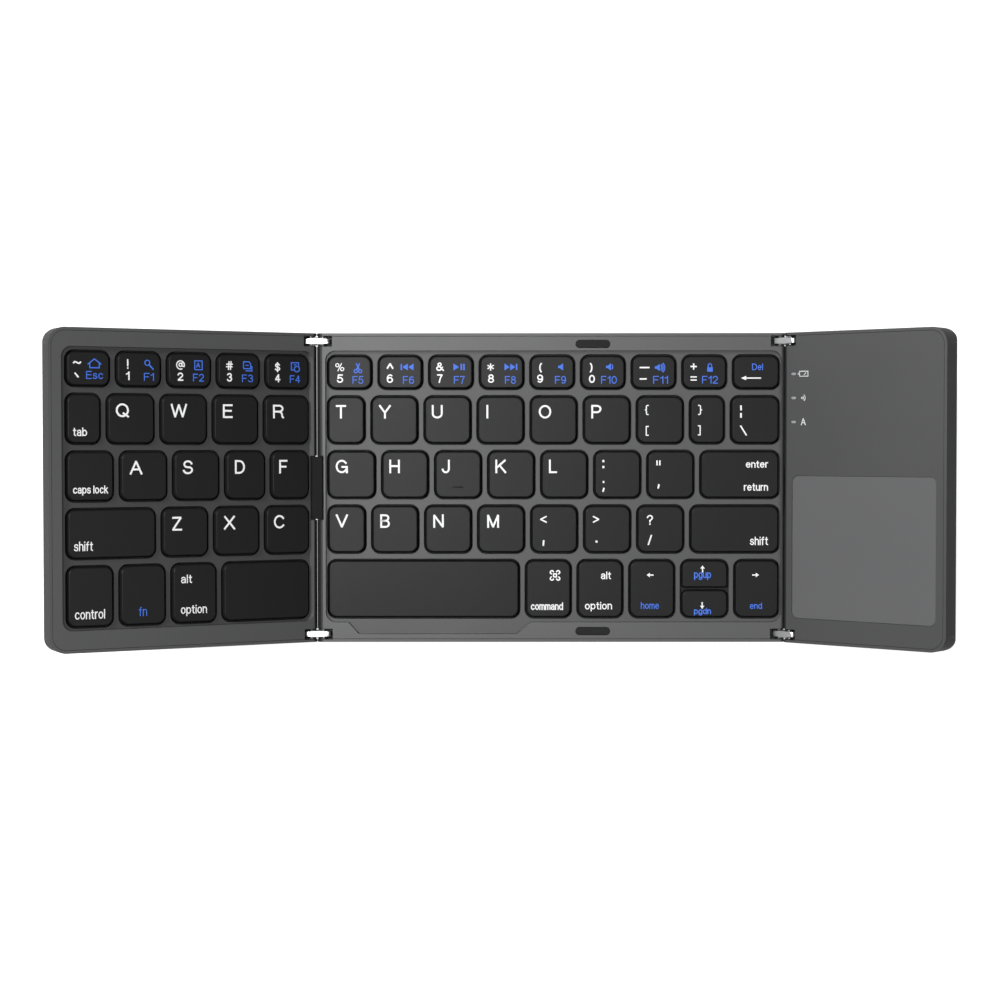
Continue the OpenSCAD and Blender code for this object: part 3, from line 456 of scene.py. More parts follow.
def growLip(bm, panelName):
    # the rounded edges at the left hinge stand a little closer to each other than the solids' do
    place = frames[panelName]
    back = place.inverted()
    for vert in bm.verts:
        spot = back @ vert.co
        for edge, way in drawnEdges[panelName]:
            depth = way * (spot.x - edge)
            if depth < shells["lipDepth"]:
                rear, front = shells["lipGrow"]
                grow = front + (rear - front) * min(max(spot.y / shells["lipTaper"], 0), 1)
                spot.x -= way * grow * (1 - depth / shells["lipDepth"])
        vert.co = place @ spot


def growCover(bm, panelName):
    # the outline of a top cover is moved out into the groove
    place = frames[panelName]
    back = place.inverted()
    spots = [back @ vert.co for vert in bm.verts]
    inner = shells["cornerRadius"] - shells["rim"] - shells["groove"]
    reach = shells["groove"] / 4
    low, high = min(s.x for s in spots), max(s.x for s in spots)
    half = max(s.y for s in spots)
    hinged = [edge for edge, way in hingeEdges[panelName]]
    for vert, spot in zip(bm.verts, spots):
        out = Vector((0, max(abs(spot.y) - half + inner, 0) * math.copysign(1, spot.y), 0))
        if not any(abs(low - edge) < panel["pivotInset"] for edge in hinged):
            out.x = min(spot.x - low - inner, 0)
        if not any(abs(high - edge) < panel["pivotInset"] for edge in hinged):
            out.x = out.x or max(spot.x - high + inner, 0)
        if out.length > inner - reach:
            vert.co = place @ (spot + out.normalized() * shells["coverGrow"])


def slopeTrayWall(bm, panelName):
    # beside the wing's hinge the wall of the tray slopes down to the keys
    back = frames[panelName].inverted()
    turned = back.to_3x3()
    near, turn = 0.05 * mm, shells["wallTurn"]
    moves = []
    for vert in bm.verts:
        if abs((back @ vert.co).z + shells["trayDepth"]) < near:
            walls = [turned @ f.normal for f in vert.link_faces
                     if max((back @ v.co).z for v in f.verts) > -near]
            way = sum((wall for wall in walls if wall.x < -turn), Vector()).normalized()
            moves.append((vert, way * shells["traySlope"] * max(-way.x - turn, 0) / (1 - turn)))
    for vert, way in moves:
        vert.co += turned.inverted() @ way


def toneFaces(piece, panelName, material, test):
    # the faces that pass a test on their place and direction in the panel's plan take another finish
    slot = len(piece.data.materials)
    piece.data.materials.append(materials[material])
    back = frames[panelName].inverted()
    turned = back.to_3x3()
    for polygon in piece.data.polygons:
        if test(back @ polygon.center, turned @ polygon.normal):
            polygon.material_index = slot


for panelName, start in (("centre", "centre"), ("left_wing", "left"), ("right_wing", "right")):
    base = dressedCopy(start + "_base", "shell", shells["edge"], lambda bm: growLip(bm, panelName))
    # two-tone base, with painted shade on the faces that turn sideways
    toneFaces(base, panelName, "shellSide",
              lambda spot, normal: spot.z < -shells["sideDrop"] or normal.z < shells["sideLean"])

    def coverShape(bm):
        growCover(bm, panelName)
        growLip(bm, panelName)
        if panelName == "left_wing":
            slopeTrayWall(bm, panelName)

    cover = dressedCopy(start + "_cover", "shell", shells["edge"], coverShape)
    # painted shade: the sunk trays take a darker colour
    toneFaces(cover, panelName, "wingTray" if panelName == "left_wing" else "tray",
              lambda spot, normal: spot.z < -shells["trayDrop"])
    if panelName == "left_wing":     # its sloped wall has a lighter colour, a painted highlight
        toneFaces(cover, panelName, "traySlope", lambda spot, normal: spot.x > -shells["wallReach"]
                  and normal.x < -shells["wallTurn"] and normal.z > shells["wallRise"])
    for shell in (base, cover):
        # painted shade: the hinge edges' rounds take the darker colours, the darkest nearest the slit
        for finish, reach in (("hingeRound", "roundLipShade"), ("hingeEdge", "darkLipShade")):
            toneFaces(shell, panelName, finish, lambda spot, normal: any(
                way * (spot.x - edge) < width
                for (edge, way), width in zip(hingeEdges[panelName], shells[reach][panelName])))
print("shells made")


# keys
keyShape = {
    "cornerRadius": 2.45 * mm,
    "innerRadius": 0.9 * mm,     # corners of the two short arrow keys where they meet
    "draft": 0.38 * mm,          # the sides slope in by this much from the foot to the top
    "slope": 1.15 * mm,          # height of the sloping part of the sides
    "rim": 0.75 * mm,            # slightly sloped band around the flat top
    "rimDrop": 0.06 * mm,
    "edge": 0.2 * mm,
    "height": 2.5 * mm,
    "skirt": 1.0 * mm,
    "hollow": 1.4 * mm,
}


def roundedFace(bm, low, high, level, radii):
    # radii: lower left, lower right, upper right, upper left
    corners = [(low[0], low[1]), (high[0], low[1]), (high[0], high[1]), (low[0], high[1])]
    verts = [bm.verts.new((x, y, level)) for x, y in corners]
    bm.faces.new(verts)
    for vert, radius in zip(verts, radii):
        roundOff(bm, [vert], radius, 9, "VERTICES", False)
    return bm.faces[:][-1]


def addKey(target, low, high, radii):
    spec = keyShape
    draft = spec["draft"]
    bm = bmesh.new()
    face = roundedFace(bm, (low[0] + draft, low[1] + draft), (high[0] - draft, high[1] - draft),
                       -panel["keyDrop"], [radius - draft * 0.6 for radius in radii])
    turnOut(bm)
    if face.normal.z < 0:
        face.normal_flip()
    rim = list(face.verts)
    bmesh.ops.inset_region(bm, faces=[face], thickness=spec["rim"], use_even_offset=True)
    bmesh.ops.translate(bm, verts=rim, vec=(0, 0, -spec["rimDrop"]))
    outline = [e for e in bm.edges if e.is_boundary]
    skirt = pull(bm, outline, spec["rimDrop"] - spec["slope"])
    middle = Matrix.Translation((-(low[0] + high[0]) / 2, -(low[1] + high[1]) / 2, 0))
    spread = [(high[i] - low[i]) / (high[i] - low[i] - 2 * draft) for i in (0, 1)]
    bmesh.ops.scale(bm, vec=(*spread, 1), space=middle, verts=only(bmesh.types.BMVert, skirt))
    pull(bm, only(bmesh.types.BMEdge, skirt), spec["slope"] - spec["height"])
    roundOff(bm, [e for e in outline if e.is_valid and len(e.link_faces) == 2], spec["edge"])
    base = bmesh.ops.holes_fill(bm, edges=[e for e in bm.edges if e.is_boundary], sides=0)["faces"]
    bmesh.ops.inset_region(bm, faces=base, thickness=spec["skirt"], use_even_offset=True)
    raiseFaces(bm, base, spec["hollow"])
    bmesh.ops.delete(bm, geom=base, context="FACES")
    turnOut(bm)
    pour(bm, target)


def looseParts(bm):
    # lists of the vertices that hang together
    parts, seen = [], set()
    for start in bm.verts:
        if start in seen:
            continue
        stack, part = [start], []
        seen.add(start)
        while stack:
            vert = stack.pop()
            part.append(vert)
            for edge in vert.link_edges:
                other = edge.other_vert(vert)
                if other not in seen:
                    seen.add(other)
                    stack.append(other)
        parts.append(part)
    return parts


def looseBoxes(node, panelName):
    # box of each loose solid of a CAD node, in its panel's own frame, left to right
    back = frames[panelName].inverted()
    bm = nodeCopy(node)
    boxes = []
    for part in looseParts(bm):
        spots = [back @ vert.co for vert in part]
        boxes.append(tuple(tuple(pick(p[i] for p in spots) for i in range(3)) for pick in (min, max)))
    bm.free()
    return sorted(boxes, key=lambda b: (round(b[0][0], 4), b[0][1]))


centreKeyNodes = ["centre_number_keys", "backspace_key", "centre_upper_letter_keys",
                  "centre_home_letter_keys", "enter_key", "centre_lower_letter_keys",
                  "right_shift_key", "right_space_key", "command_key", "right_option_key",
                  "arrow_keys"]
leftKeyNodes = ["left_number_keys", "tab_key", "left_upper_letter_keys", "caps_lock_key",
                "left_home_letter_keys", "left_shift_key", "left_lower_letter_keys",
                "control_key", "fn_key", "left_option_key", "left_space_key"]
keyPanels = {**{n: "centre" for n in centreKeyNodes}, **{n: "left_wing" for n in leftKeyNodes}}
boxesOf = {}
outer, inner = keyShape["cornerRadius"], keyShape["innerRadius"]
arrowRadii = {1: [outer, outer, inner * 2.2, inner * 2.2], 2: [inner, inner, outer, outer]}
for node, panelName in keyPanels.items():
    boxesOf[node] = looseBoxes(node, panelName)
    bm = bmesh.new()
    for i, (low, high) in enumerate(boxesOf[node]):
        radii = arrowRadii.get(i) if node == "arrow_keys" else None
        addKey(bm, low, high, radii or [outer] * 4)
    moveAll(bm, frames[panelName])
    finishPiece(bm, node + "_caps", bodyOf(node), materials["key"], [node], weighted=True)
print("keys made:", sum(len(b) for b in boxesOf.values()))


# lettering
# A sheet gathers the pen strokes and filled shapes that are printed on one piece, in millimetres
# from the lower left corner of the key in hand.
ink = {
    "height": 0.02 * mm,
    "sharpTurn": 40,       # degrees: a stroke is cut and squared off where it turns more than this,
    "hairpin": 105,        # and less so past this
    "letter": 0.57,
    "word": 0.33,
    "mark": 0.42,
    "label": 0.28,
    "gap": 0.25,           # between letters, as a share of their height
}


def newSheet():
    return {"corner": (0, 0), "lines": [], "patches": []}


def curveMesh(curve):
    holder = addObject("shape", curve)
    graph = bpy.context.evaluated_depsgraph_get()
    mesh = bpy.data.meshes.new_from_object(holder.evaluated_get(graph))
    bpy.data.objects.remove(holder)
    bpy.data.curves.remove(curve)
    return mesh


def movedOut(end, before, reach):
    # end, moved away from the point before it
    way = Vector(end) - Vector(before)
    return tuple(Vector(end) + way.normalized() * reach)


def addStroke(sheet, points, width, closed=False, overrun=0.0):
    points = [(x + sheet["corner"][0], y + sheet["corner"][1]) for x, y in points]
    if closed:
        points = points + points[:1]
    runs, run, square = [], [points[0]], [overrun]
    for i in range(1, len(points)):
        run.append(points[i])
        if i == len(points) - 1:
            break
        before = Vector(points[i]) - Vector(points[i - 1])
        after = Vector(points[i + 1]) - Vector(points[i])
        turn = math.degrees(before.angle(after)) if before.length and after.length else 0
        if turn > ink["sharpTurn"]:
            runs.append(run)
            run = [points[i]]
            square.append(width / 2 * (1 if turn < ink["hairpin"] else 0.4))
    runs.append(run)
    square.append(overrun)
    if closed and len(runs) == 1:
        sheet["lines"].append((run[:-1], width, True))
        return
    for run, first, last in zip(runs, square, square[1:]):
        ends = movedOut(run[0], run[1], first), movedOut(run[-1], run[-2], last)
        sheet["lines"].append(([ends[0]] + run[1:-1] + [ends[1]], width, False))


def addPatch(sheet, points):
    sheet["patches"].append([(x + sheet["corner"][0], y + sheet["corner"][1]) for x, y in points])


def printPiece(sheet, name, body, place, material):
    # each pen width is swept along its strokes, and flattened to a thin film of ink
    bm = bmesh.new()
    for width in sorted({line[1] for line in sheet["lines"]}):
        curve = bpy.data.curves.new("pen", "CURVE")
        curve.dimensions = "3D"
        curve.twist_mode = "Z_UP"
        curve.bevel_depth = width / 2 * mm
        curve.bevel_resolution = 0
        curve.use_fill_caps = True
        for points, penWidth, closed in sheet["lines"]:
            if penWidth == width:
                spline = curve.splines.new("POLY")
                spline.points.add(len(points) - 1)
                for point, (x, y) in zip(spline.points, points):
                    point.co = (x * mm, y * mm, 0, 1)
                spline.use_cyclic_u = closed
        mesh = curveMesh(curve)
        mesh.transform(Matrix.Diagonal((1, 1, ink["height"] / (width * mm), 1)))
        bm.from_mesh(mesh)
        bpy.data.meshes.remove(mesh)
    for points in sheet["patches"]:
        face = bm.faces.new([bm.verts.new((x * mm, y * mm, -ink["height"] / 2)) for x, y in points])
        raiseFaces(bm, [face], ink["height"])
    turnOut(bm)
    moveAll(bm, place @ Matrix.Translation((0, 0, ink["height"] / 2)))
    return finishPiece(bm, name, body, material)


def bow(cx, cy, rx, ry, start, stop):
    steps = max(3, round(abs(stop - start) / 24))
    turns = [math.radians(start + (stop - start) * i / steps) for i in range(steps + 1)]
    return [(cx + rx * math.cos(t), cy + ry * math.sin(t)) for t in turns]


def ring(cx, cy, rx, ry):
    return bow(cx, cy, rx, ry, 90, 450)


def mirrored(strokes, width):
    return [[(width - x, y) for x, y in stroke] for stroke in strokes]


dot = [(0, 0.0), (0, 0.03)]
squareBracket = [[(0.22, 1.2), (0, 1.2), (0, 0), (0.22, 0)]]
curlyBracket = [[(0.34, 1.2)] + bow(0.30, 1.06, 0.14, 0.14, 90, 180)
                + bow(0.02, 0.74, 0.14, 0.14, 0, -90) + bow(0.02, 0.46, 0.14, 0.14, 90, 0)
                + bow(0.30, 0.14, 0.14, 0.14, 180, 270) + [(0.34, 0)]]
roundBracket = [bow(0.42, 0.6, 0.42, 0.66, 114, 246)]
angleBracket = [[(0.56, 0.8), (0, 0.42), (0.56, 0.04)]]
hump = bow(0.24, 0.47, 0.24, 0.26, 180, 0)
stem = [(0, 0), (0, 1)]
smallStem = [(0, 0), (0, 0.73)]
bowl = ring(0.27, 0.365, 0.27, 0.365)
bigRing = ring(0.44, 0.5, 0.44, 0.5)
# width and strokes of each character, for capitals 1 high
glyphs = {
    "A": (0.84, [[(0, 0), (0.42, 1), (0.84, 0)], [(0.15, 0.34), (0.69, 0.34)]]),
    "B": (0.68, [[(0, 0.53), (0, 1), (0.38, 1)] + bow(0.38, 0.765, 0.25, 0.235, 90, -90) + [(0, 0.53)],
                 [(0, 0.53), (0.40, 0.53)] + bow(0.40, 0.265, 0.28, 0.265, 90, -90)
                 + [(0, 0), (0, 0.53)]]),
    "C": (0.78, [bow(0.42, 0.5, 0.42, 0.5, 38, 322)]),
    "D": (0.74, [[(0, 0), (0, 1), (0.32, 1)] + bow(0.32, 0.5, 0.42, 0.5, 90, -90) + [(0, 0)]]),
    "E": (0.62, [[(0.62, 1), (0, 1), (0, 0), (0.62, 0)], [(0, 0.53), (0.56, 0.53)]]),
    "F": (0.56, [[(0.56, 1), (0, 1), (0, 0)], [(0, 0.5), (0.48, 0.5)]]),
    "G": (0.84, [bow(0.42, 0.5, 0.42, 0.5, 38, 330) + [(0.84, 0.10)],
                 [(0.84, 0.0), (0.84, 0.46), (0.47, 0.46)]]),
    "H": (0.72, [stem, [(0.72, 0), (0.72, 1)], [(0, 0.53), (0.72, 0.53)]]),
    "I": (0.0, [stem]),
    "J": (0.50, [[(0.50, 1), (0.50, 0.27)] + bow(0.25, 0.27, 0.25, 0.27, 0, -170)]),
    "K": (0.70, [stem, [(0.66, 1), (0, 0.36)], [(0.25, 0.60), (0.70, 0)]]),
    "L": (0.52, [[(0, 1), (0, 0), (0.52, 0)]]),
    "M": (0.80, [[(0, 0), (0, 1), (0.4, 0), (0.8, 1), (0.8, 0)]]),
    "N": (0.72, [[(0, 0), (0, 1), (0.72, 0), (0.72, 1)]]),
    "O": (0.88, [bigRing]),
    "P": (0.66, [[(0, 0), (0, 1), (0.36, 1)] + bow(0.36, 0.725, 0.29, 0.275, 90, -90) + [(0, 0.45)]]),
    "Q": (0.88, [bigRing, [(0.54, 0.24), (0.88, -0.02)]]),
    "R": (0.70, [[(0, 0), (0, 1), (0.40, 1)] + bow(0.40, 0.745, 0.27, 0.255, 90, -90) + [(0, 0.49)],
                 [(0.38, 0.49), (0.53, 0.44), (0.61, 0.32), (0.64, 0.08), (0.70, 0)]]),
    "S": (0.66, [bow(0.33, 0.745, 0.29, 0.255, 15, 235) + [(0.33, 0.50)]
                 + bow(0.33, 0.265, 0.33, 0.265, 60, -168)]),
    "T": (0.76, [[(0, 1), (0.76, 1)], [(0.38, 1), (0.38, 0)]]),
    "U": (0.70, [[(0, 1), (0, 0.32)] + bow(0.35, 0.32, 0.35, 0.32, 180, 360) + [(0.70, 1)]]),
    "V": (0.80, [[(0, 1), (0.4, 0), (0.8, 1)]]),
    "W": (1.16, [[(0, 1), (0.28, 0), (0.58, 1), (0.88, 0), (1.16, 1)]]),
    "X": (0.76, [[(0.02, 1), (0.76, 0)], [(0.74, 1), (0, 0)]]),
    "Y": (0.78, [[(0, 1), (0.39, 0.42), (0.78, 1)], [(0.39, 0.42), (0.39, 0)]]),
    "Z": (0.70, [[(0.03, 1), (0.68, 1), (0, 0), (0.70, 0)]]),
    "0": (0.58, [ring(0.29, 0.5, 0.29, 0.5)]),
    "1": (0.28, [[(0, 0.76), (0.16, 0.82), (0.28, 1)], [(0.28, 1), (0.28, 0)]]),
    "2": (0.58, [bow(0.29, 0.71, 0.28, 0.29, 168, -28) + [(0, 0), (0.58, 0)]]),
    "3": (0.58, [bow(0.28, 0.755, 0.26, 0.245, 155, -80), bow(0.29, 0.265, 0.29, 0.265, 80, -160)]),
    "4": (0.60, [[(0.44, 0), (0.44, 1), (0, 0.28), (0.60, 0.28)]]),
    "5": (0.58, [[(0.54, 1), (0.12, 1), (0.05, 0.50)] + bow(0.28, 0.32, 0.30, 0.32, 125, -160)]),
    "6": (0.58, [ring(0.29, 0.31, 0.28, 0.31), bow(0.31, 0.5, 0.30, 0.5, 52, 200)]),
    "7": (0.56, [[(0, 1), (0.56, 1), (0.34, 0.60), (0.20, 0)]]),
    "8": (0.58, [ring(0.29, 0.765, 0.24, 0.235), ring(0.29, 0.265, 0.29, 0.265)]),
    "9": (0.58, [ring(0.29, 0.69, 0.28, 0.31), bow(0.27, 0.5, 0.30, 0.5, 20, -128)]),
    "a": (0.50, [bow(0.25, 0.51, 0.23, 0.22, 160, 0) + [(0.48, 0)],
                 [(0.48, 0.43), (0.24, 0.40)] + bow(0.21, 0.20, 0.21, 0.20, 90, 300) + [(0.48, 0.14)]]),
    "b": (0.54, [[(0, 1), (0, 0)], bowl]),
    "c": (0.50, [bow(0.27, 0.365, 0.27, 0.365, 40, 320)]),
    "d": (0.54, [[(0.54, 1), (0.54, 0)], bowl]),
    "e": (0.54, [[(0.02, 0.39), (0.54, 0.39)] + bow(0.27, 0.365, 0.27, 0.365, 5, 318)]),
    "f": (0.30, [[(0.12, 0), (0.12, 0.80)] + bow(0.28, 0.80, 0.16, 0.20, 180, 95),
                 [(0, 0.70), (0.28, 0.70)]]),
    "g": (0.54, [bowl, [(0.54, 0.73), (0.54, 0)] + bow(0.27, -0.02, 0.27, 0.26, 0, -150)]),
    "h": (0.48, [stem, hump + [(0.48, 0)]]),
    "i": (0.0, [[(0, 0), (0, 0.70)], [(0, 0.97), (0, 1.0)]]),
    "k": (0.46, [stem, [(0.42, 0.73), (0, 0.30)], [(0.16, 0.46), (0.46, 0)]]),
    "l": (0.0, [stem]),
    "m": (0.80, [smallStem, bow(0.20, 0.49, 0.20, 0.24, 180, 0) + [(0.40, 0)],
                 bow(0.60, 0.49, 0.20, 0.24, 180, 0) + [(0.80, 0)]]),
    "n": (0.48, [smallStem, hump + [(0.48, 0)]]),
    "o": (0.54, [bowl]),
    "p": (0.54, [[(0, 0.73), (0, -0.28)], bowl]),
    "r": (0.26, [smallStem, bow(0.24, 0.47, 0.24, 0.26, 180, 85)]),
    "s": (0.46, [bow(0.23, 0.545, 0.20, 0.185, 20, 235) + [(0.23, 0.365)]
                 + bow(0.23, 0.195, 0.23, 0.195, 60, -165)]),
    "t": (0.30, [[(0.13, 0.95), (0.13, 0.14)] + bow(0.27, 0.14, 0.14, 0.14, 180, 280),
                 [(0, 0.70), (0.28, 0.70)]]),
    "u": (0.48, [[(0, 0.73), (0, 0.26)] + bow(0.24, 0.26, 0.24, 0.26, 180, 360),
                 [(0.48, 0.73), (0.48, 0)]]),
    "%": (1.0, [ring(0.2, 0.77, 0.2, 0.23), ring(0.8, 0.23, 0.2, 0.23), [(0.72, 1), (0.28, 0)]]),
    "&": (0.80, [[(0.80, 0), (0.20, 0.66)] + bow(0.34, 0.80, 0.18, 0.20, 200, -40) + [(0.20, 0.50)]
                 + bow(0.28, 0.25, 0.28, 0.25, 140, 310) + [(0.68, 0.42)]]),
    "(": (0.24, roundBracket), ")": (0.24, mirrored(roundBracket, 0.25)),
    "[": (0.22, squareBracket), "]": (0.22, mirrored(squareBracket, 0.22)),
    "{": (0.34, curlyBracket), "}": (0.34, mirrored(curlyBracket, 0.34)),
    "<": (0.56, angleBracket), ">": (0.56, mirrored(angleBracket, 0.56)),
    ":": (0.0, [dot, [(0, 0.6), (0, 0.63)]]),
    ";": (0.10, [[(0.05, 0.6), (0.05, 0.63)], [(0.08, 0.02), (0, -0.2)]]),
    ",": (0.10, [[(0.08, 0.02), (0, -0.2)]]), ".": (0.0, [dot]),
    "/": (0.40, [[(0, 0), (0.40, 1)]]), "!": (0.0, [dot, [(0, 0.30), (0, 1)]]),
    "?": (0.50, [bow(0.25, 0.74, 0.25, 0.26, 170, -30) + [(0.25, 0.40), (0.25, 0.28)],
                 [(0.25, 0.0), (0.25, 0.03)]]),
    "#": (0.66, [[(0.22, 0), (0.30, 1)], [(0.46, 0), (0.54, 1)],
                 [(0, 0.34), (0.64, 0.34)], [(0.03, 0.68), (0.67, 0.68)]]),
    "$": (0.56, [bow(0.28, 0.70, 0.25, 0.20, 20, 235) + [(0.28, 0.5)]
                 + bow(0.28, 0.30, 0.28, 0.20, 60, -160),
                 [(0.28, 1.04), (0.28, -0.04)]]),
    "@": (1.0, [ring(0.50, 0.52, 0.17, 0.2),
                [(0.69, 0.74), (0.66, 0.36)] + bow(0.50, 0.5, 0.46, 0.5, -20, 290)]),
}


def addWord(sheet, text, low, high, width):
    # strokes of a word side by side, stretched so that their ink fills the box from low to high
    runs, pen = [], 0
    for mark in text:
        if mark == " ":
            pen += ink["gap"] * 1.3
            continue
        advance, strokes = glyphs[mark]
        runs += [[(pen + x, y) for x, y in stroke] for stroke in strokes]
        pen += advance + ink["gap"]
    lows = [min(p[i] for run in runs for p in run) for i in (0, 1)]
    spans = [max(p[i] for run in runs for p in run) - lows[i] for i in (0, 1)]
    room = [high[i] - low[i] - width for i in (0, 1)]
    scales = [room[i] / spans[i] if spans[i] > 0.1 else max(room) for i in (0, 1)]
    starts = [(high[i] + low[i]) / 2 - scales[i] * spans[i] / 2 for i in (0, 1)]
    for run in runs:
        points = [tuple(starts[i] + (p[i] - lows[i]) * scales[i] for i in (0, 1)) for p in run]
        closed = len(run) > 4 and (Vector(run[0]) - Vector(run[-1])).length < 1e-6
        addStroke(sheet, points[:-1] if closed else points, width, closed, width / 2)


# Icons are rows of points, pen width and whether the stroke is closed, each about its own middle.
# A row with no pen is a filled shape.
def arrowHead(x, size, way):
    return ([(x + way * size, 0), (x, way * 1.05), (x, -way * 1.05)], None)


def speaker(x, waves=0):
    cone = [(-0.75, -0.35), (-0.2, -0.4), (0.75, -1.1), (0.75, 1.1), (-0.2, 0.4), (-0.75, 0.35)]
    sounds = [(bow(x + 0.35, 0, 0.95 + i * 0.5, 0.95 + i * 0.5, -48, 48), 0.32) for i in range(waves)]
    return [([(x + a, b) for a, b in cone], None)] + sounds


def bar(x):
    return [(x, -0.95), (x, 0.95)]


icons = {
    "home": [([(-2.05, -0.35), (0, 1.25), (2.05, -0.35)], 0.32),
             ([(-1.4, 0.1), (-1.4, -1.3), (1.4, -1.3), (1.4, 0.1)], 0.32)],
    "search": [(bow(-0.5, 0.6, 0.75, 0.75, 0, 342), 0.32, True), ([(0.05, 0.05), (1.35, -1.35)], 0.42)],
    "sheet": [([(-1.15, -1.3), (1.15, -1.3), (1.15, 1.3), (-1.15, 1.3)], 0.32, True),
              ([(-0.65, -0.65), (-0.1, 0.7), (0.45, -0.65)], 0.28),
              ([(-0.4, -0.2), (0.2, -0.2)], 0.28)],
    "copy": [([(-1.25, -0.65), (-1.25, 1.4), (0.45, 1.4), (1.0, 0.8), (1.0, -0.65)], 0.32, True),
             ([(-0.6, -1.3), (1.4, -1.3), (1.4, 0.2)], 0.32), ([(-0.6, 0.35), (0.4, 0.35)], 0.28)],
    "paste": [([(-0.45, -0.8), (-1.35, -0.8), (-1.35, 1.4), (1.0, 1.4), (1.0, 0.45)], 0.32),
              (bow(0.45, -0.5, 0.85, 0.85, 0, 342), 0.32, True), ([(-0.6, 0.75), (0.3, 0.75)], 0.28)],
    "cut": [(bow(-0.68, -1.15, 0.5, 0.5, 0, 335), 0.3, True), ([(-0.42, -0.72), (0.55, 1.25)], 0.36),
            (bow(0.68, -1.15, 0.5, 0.5, 0, 335), 0.3, True), ([(0.42, -0.72), (-0.55, 1.25)], 0.36)],
    "previous": [(bar(-1.85), 0.46), arrowHead(0.1, 1.6, -1), arrowHead(1.85, 1.6, -1)],
    "play": [arrowHead(-1.7, 1.75, 1), (bar(0.7), 0.48), (bar(1.5), 0.48)],
    "next": [(bar(1.85), 0.46), arrowHead(-0.1, 1.6, 1), arrowHead(-1.85, 1.6, 1)],
    "mute": speaker(0),
    "lowSound": speaker(-0.35, 1),
    "highSound": speaker(-0.75, 3),
    "lock": [([(-0.85, -1.25), (0.85, -1.25), (0.85, 0.05), (-0.85, 0.05)], None),
             ([(-0.52, 0.05)] + bow(0, 0.6, 0.52, 0.55, 180, 0) + [(0.52, 0.05)], 0.3)],
    "loops": [(bow(sx * 0.95, sy * 0.95, 0.5, 0.5, start, start + 270), 0.4)
              for sx, sy, start in ((-1, -1, 90), (-1, 1, 0), (1, -1, 180), (1, 1, -90))]
    + [([(-0.45, -0.45), (0.45, -0.45), (0.45, 0.45), (-0.45, 0.45)], 0.4, True)],
    "star": [([(-dx, -dy), (dx, dy)], 0.34) for turn in (90, 30, -30)
             for dx, dy in bow(0, 0, 1.1, 1.1, turn, turn)[:1]],
}


def movedRows(rows, x, y):
    return [([(x + a, y + b) for a, b in points], *rest) for points, *rest in rows]


def addRows(sheet, rows):
    for points, width, *closed in rows:
        if width:
            addStroke(sheet, points, width, bool(closed))
        else:
            addPatch(sheet, points)


def arrowRows(x, y, length, way):
    # way: direction as (dx, dy)
    dx, dy = way
    reach = min(1.6, 0.46 * length)
    wide, high = dy * 0.66, dx * 0.66
    tip = (x + dx * length / 2, y + dy * length / 2)
    neck = (tip[0] - dx * reach, tip[1] - dy * reach)
    return [([(x - dx * length / 2, y - dy * length / 2), neck], 0.38),
            ([tip, (neck[0] - wide, neck[1] + high), (neck[0] + wide, neck[1] - high)], None)]


# words of each key: text, left, right, bottom, top, pen width, from the key's lower left corner
letterRow = {"bottom": 7.6, "top": 11.7}


def letter(text, left, width):
    return (text, left, left + width, letterRow["bottom"], letterRow["top"], ink["letter"])


# number keys: the white words, the blue word, and the icon with its place
numberLegends = {
    "centre": [
        ([("%", 2.25, 5.0, 5.35, 7.8, 0.28), ("5", 2.75, 4.65, 1.8, 4.4)],
         ("F5", 7.5, 10.8, 1.5, 3.85), ("cut", 9.15, 6.5)),
        ([("6", 2.5, 4.4, 1.8, 4.4)], ("F6", 7.4, 10.8, 1.5, 3.85), ("previous", 8.8, 6.6)),
        ([("&", 2.1, 4.5, 5.4, 8.0), ("7", 2.4, 4.1, 1.8, 4.4)],
         ("F7", 7.5, 10.85, 1.5, 3.85), ("play", 9.05, 6.6)),
        ([("8", 2.45, 4.3, 1.8, 4.4)], ("F8", 7.6, 10.95, 1.5, 3.85), ("next", 9.3, 6.6)),
        ([("(", 2.6, 3.4, 4.95, 7.8), ("9", 1.95, 3.8, 1.8, 4.3)],
         ("F9", 7.4, 10.75, 1.5, 3.85), ("mute", 9.1, 6.6)),
        ([(")", 2.6, 3.4, 4.95, 7.8), ("0", 2.3, 4.15, 1.75, 4.2)],
         ("F10", 6.0, 10.8, 1.5, 3.85), ("lowSound", 8.6, 6.6)),
        ([], ("F11", 6.4, 10.9, 1.5, 3.85), ("highSound", 8.4, 6.4)),
        ([], ("F12", 5.85, 10.7, 1.5, 3.85), ("lock", 8.25, 6.4)),
    ],
    "left_wing": [
        ([], ("Esc", 5.7, 10.65, 2.0, 4.3), ("home", 8.2, 6.55)),
        ([("!", 2.8, 3.5, 5.1, 7.9), ("1", 2.6, 3.7, 1.85, 4.3)],
         ("F1", 8.0, 11.05, 1.7, 4.0), ("search", 9.55, 6.35)),
        ([("@", 2.4, 5.1, 5.1, 7.9, 0.34), ("2", 2.8, 4.6, 1.85, 4.3)],
         ("F2", 7.6, 11.0, 1.7, 4.0), ("sheet", 9.3, 6.5)),
        ([("#", 2.5, 4.6, 5.3, 7.9, 0.36), ("3", 2.75, 4.4, 1.8, 4.4)],
         ("F3", 7.5, 11.0, 1.7, 4.0), ("copy", 9.25, 6.4)),
        ([("$", 2.6, 4.3, 4.9, 7.9, 0.4), ("4", 2.6, 4.3, 1.85, 4.35)],
         ("F4", 7.4, 10.75, 1.7, 4.0), ("paste", 9.25, 6.4)),
    ],
}
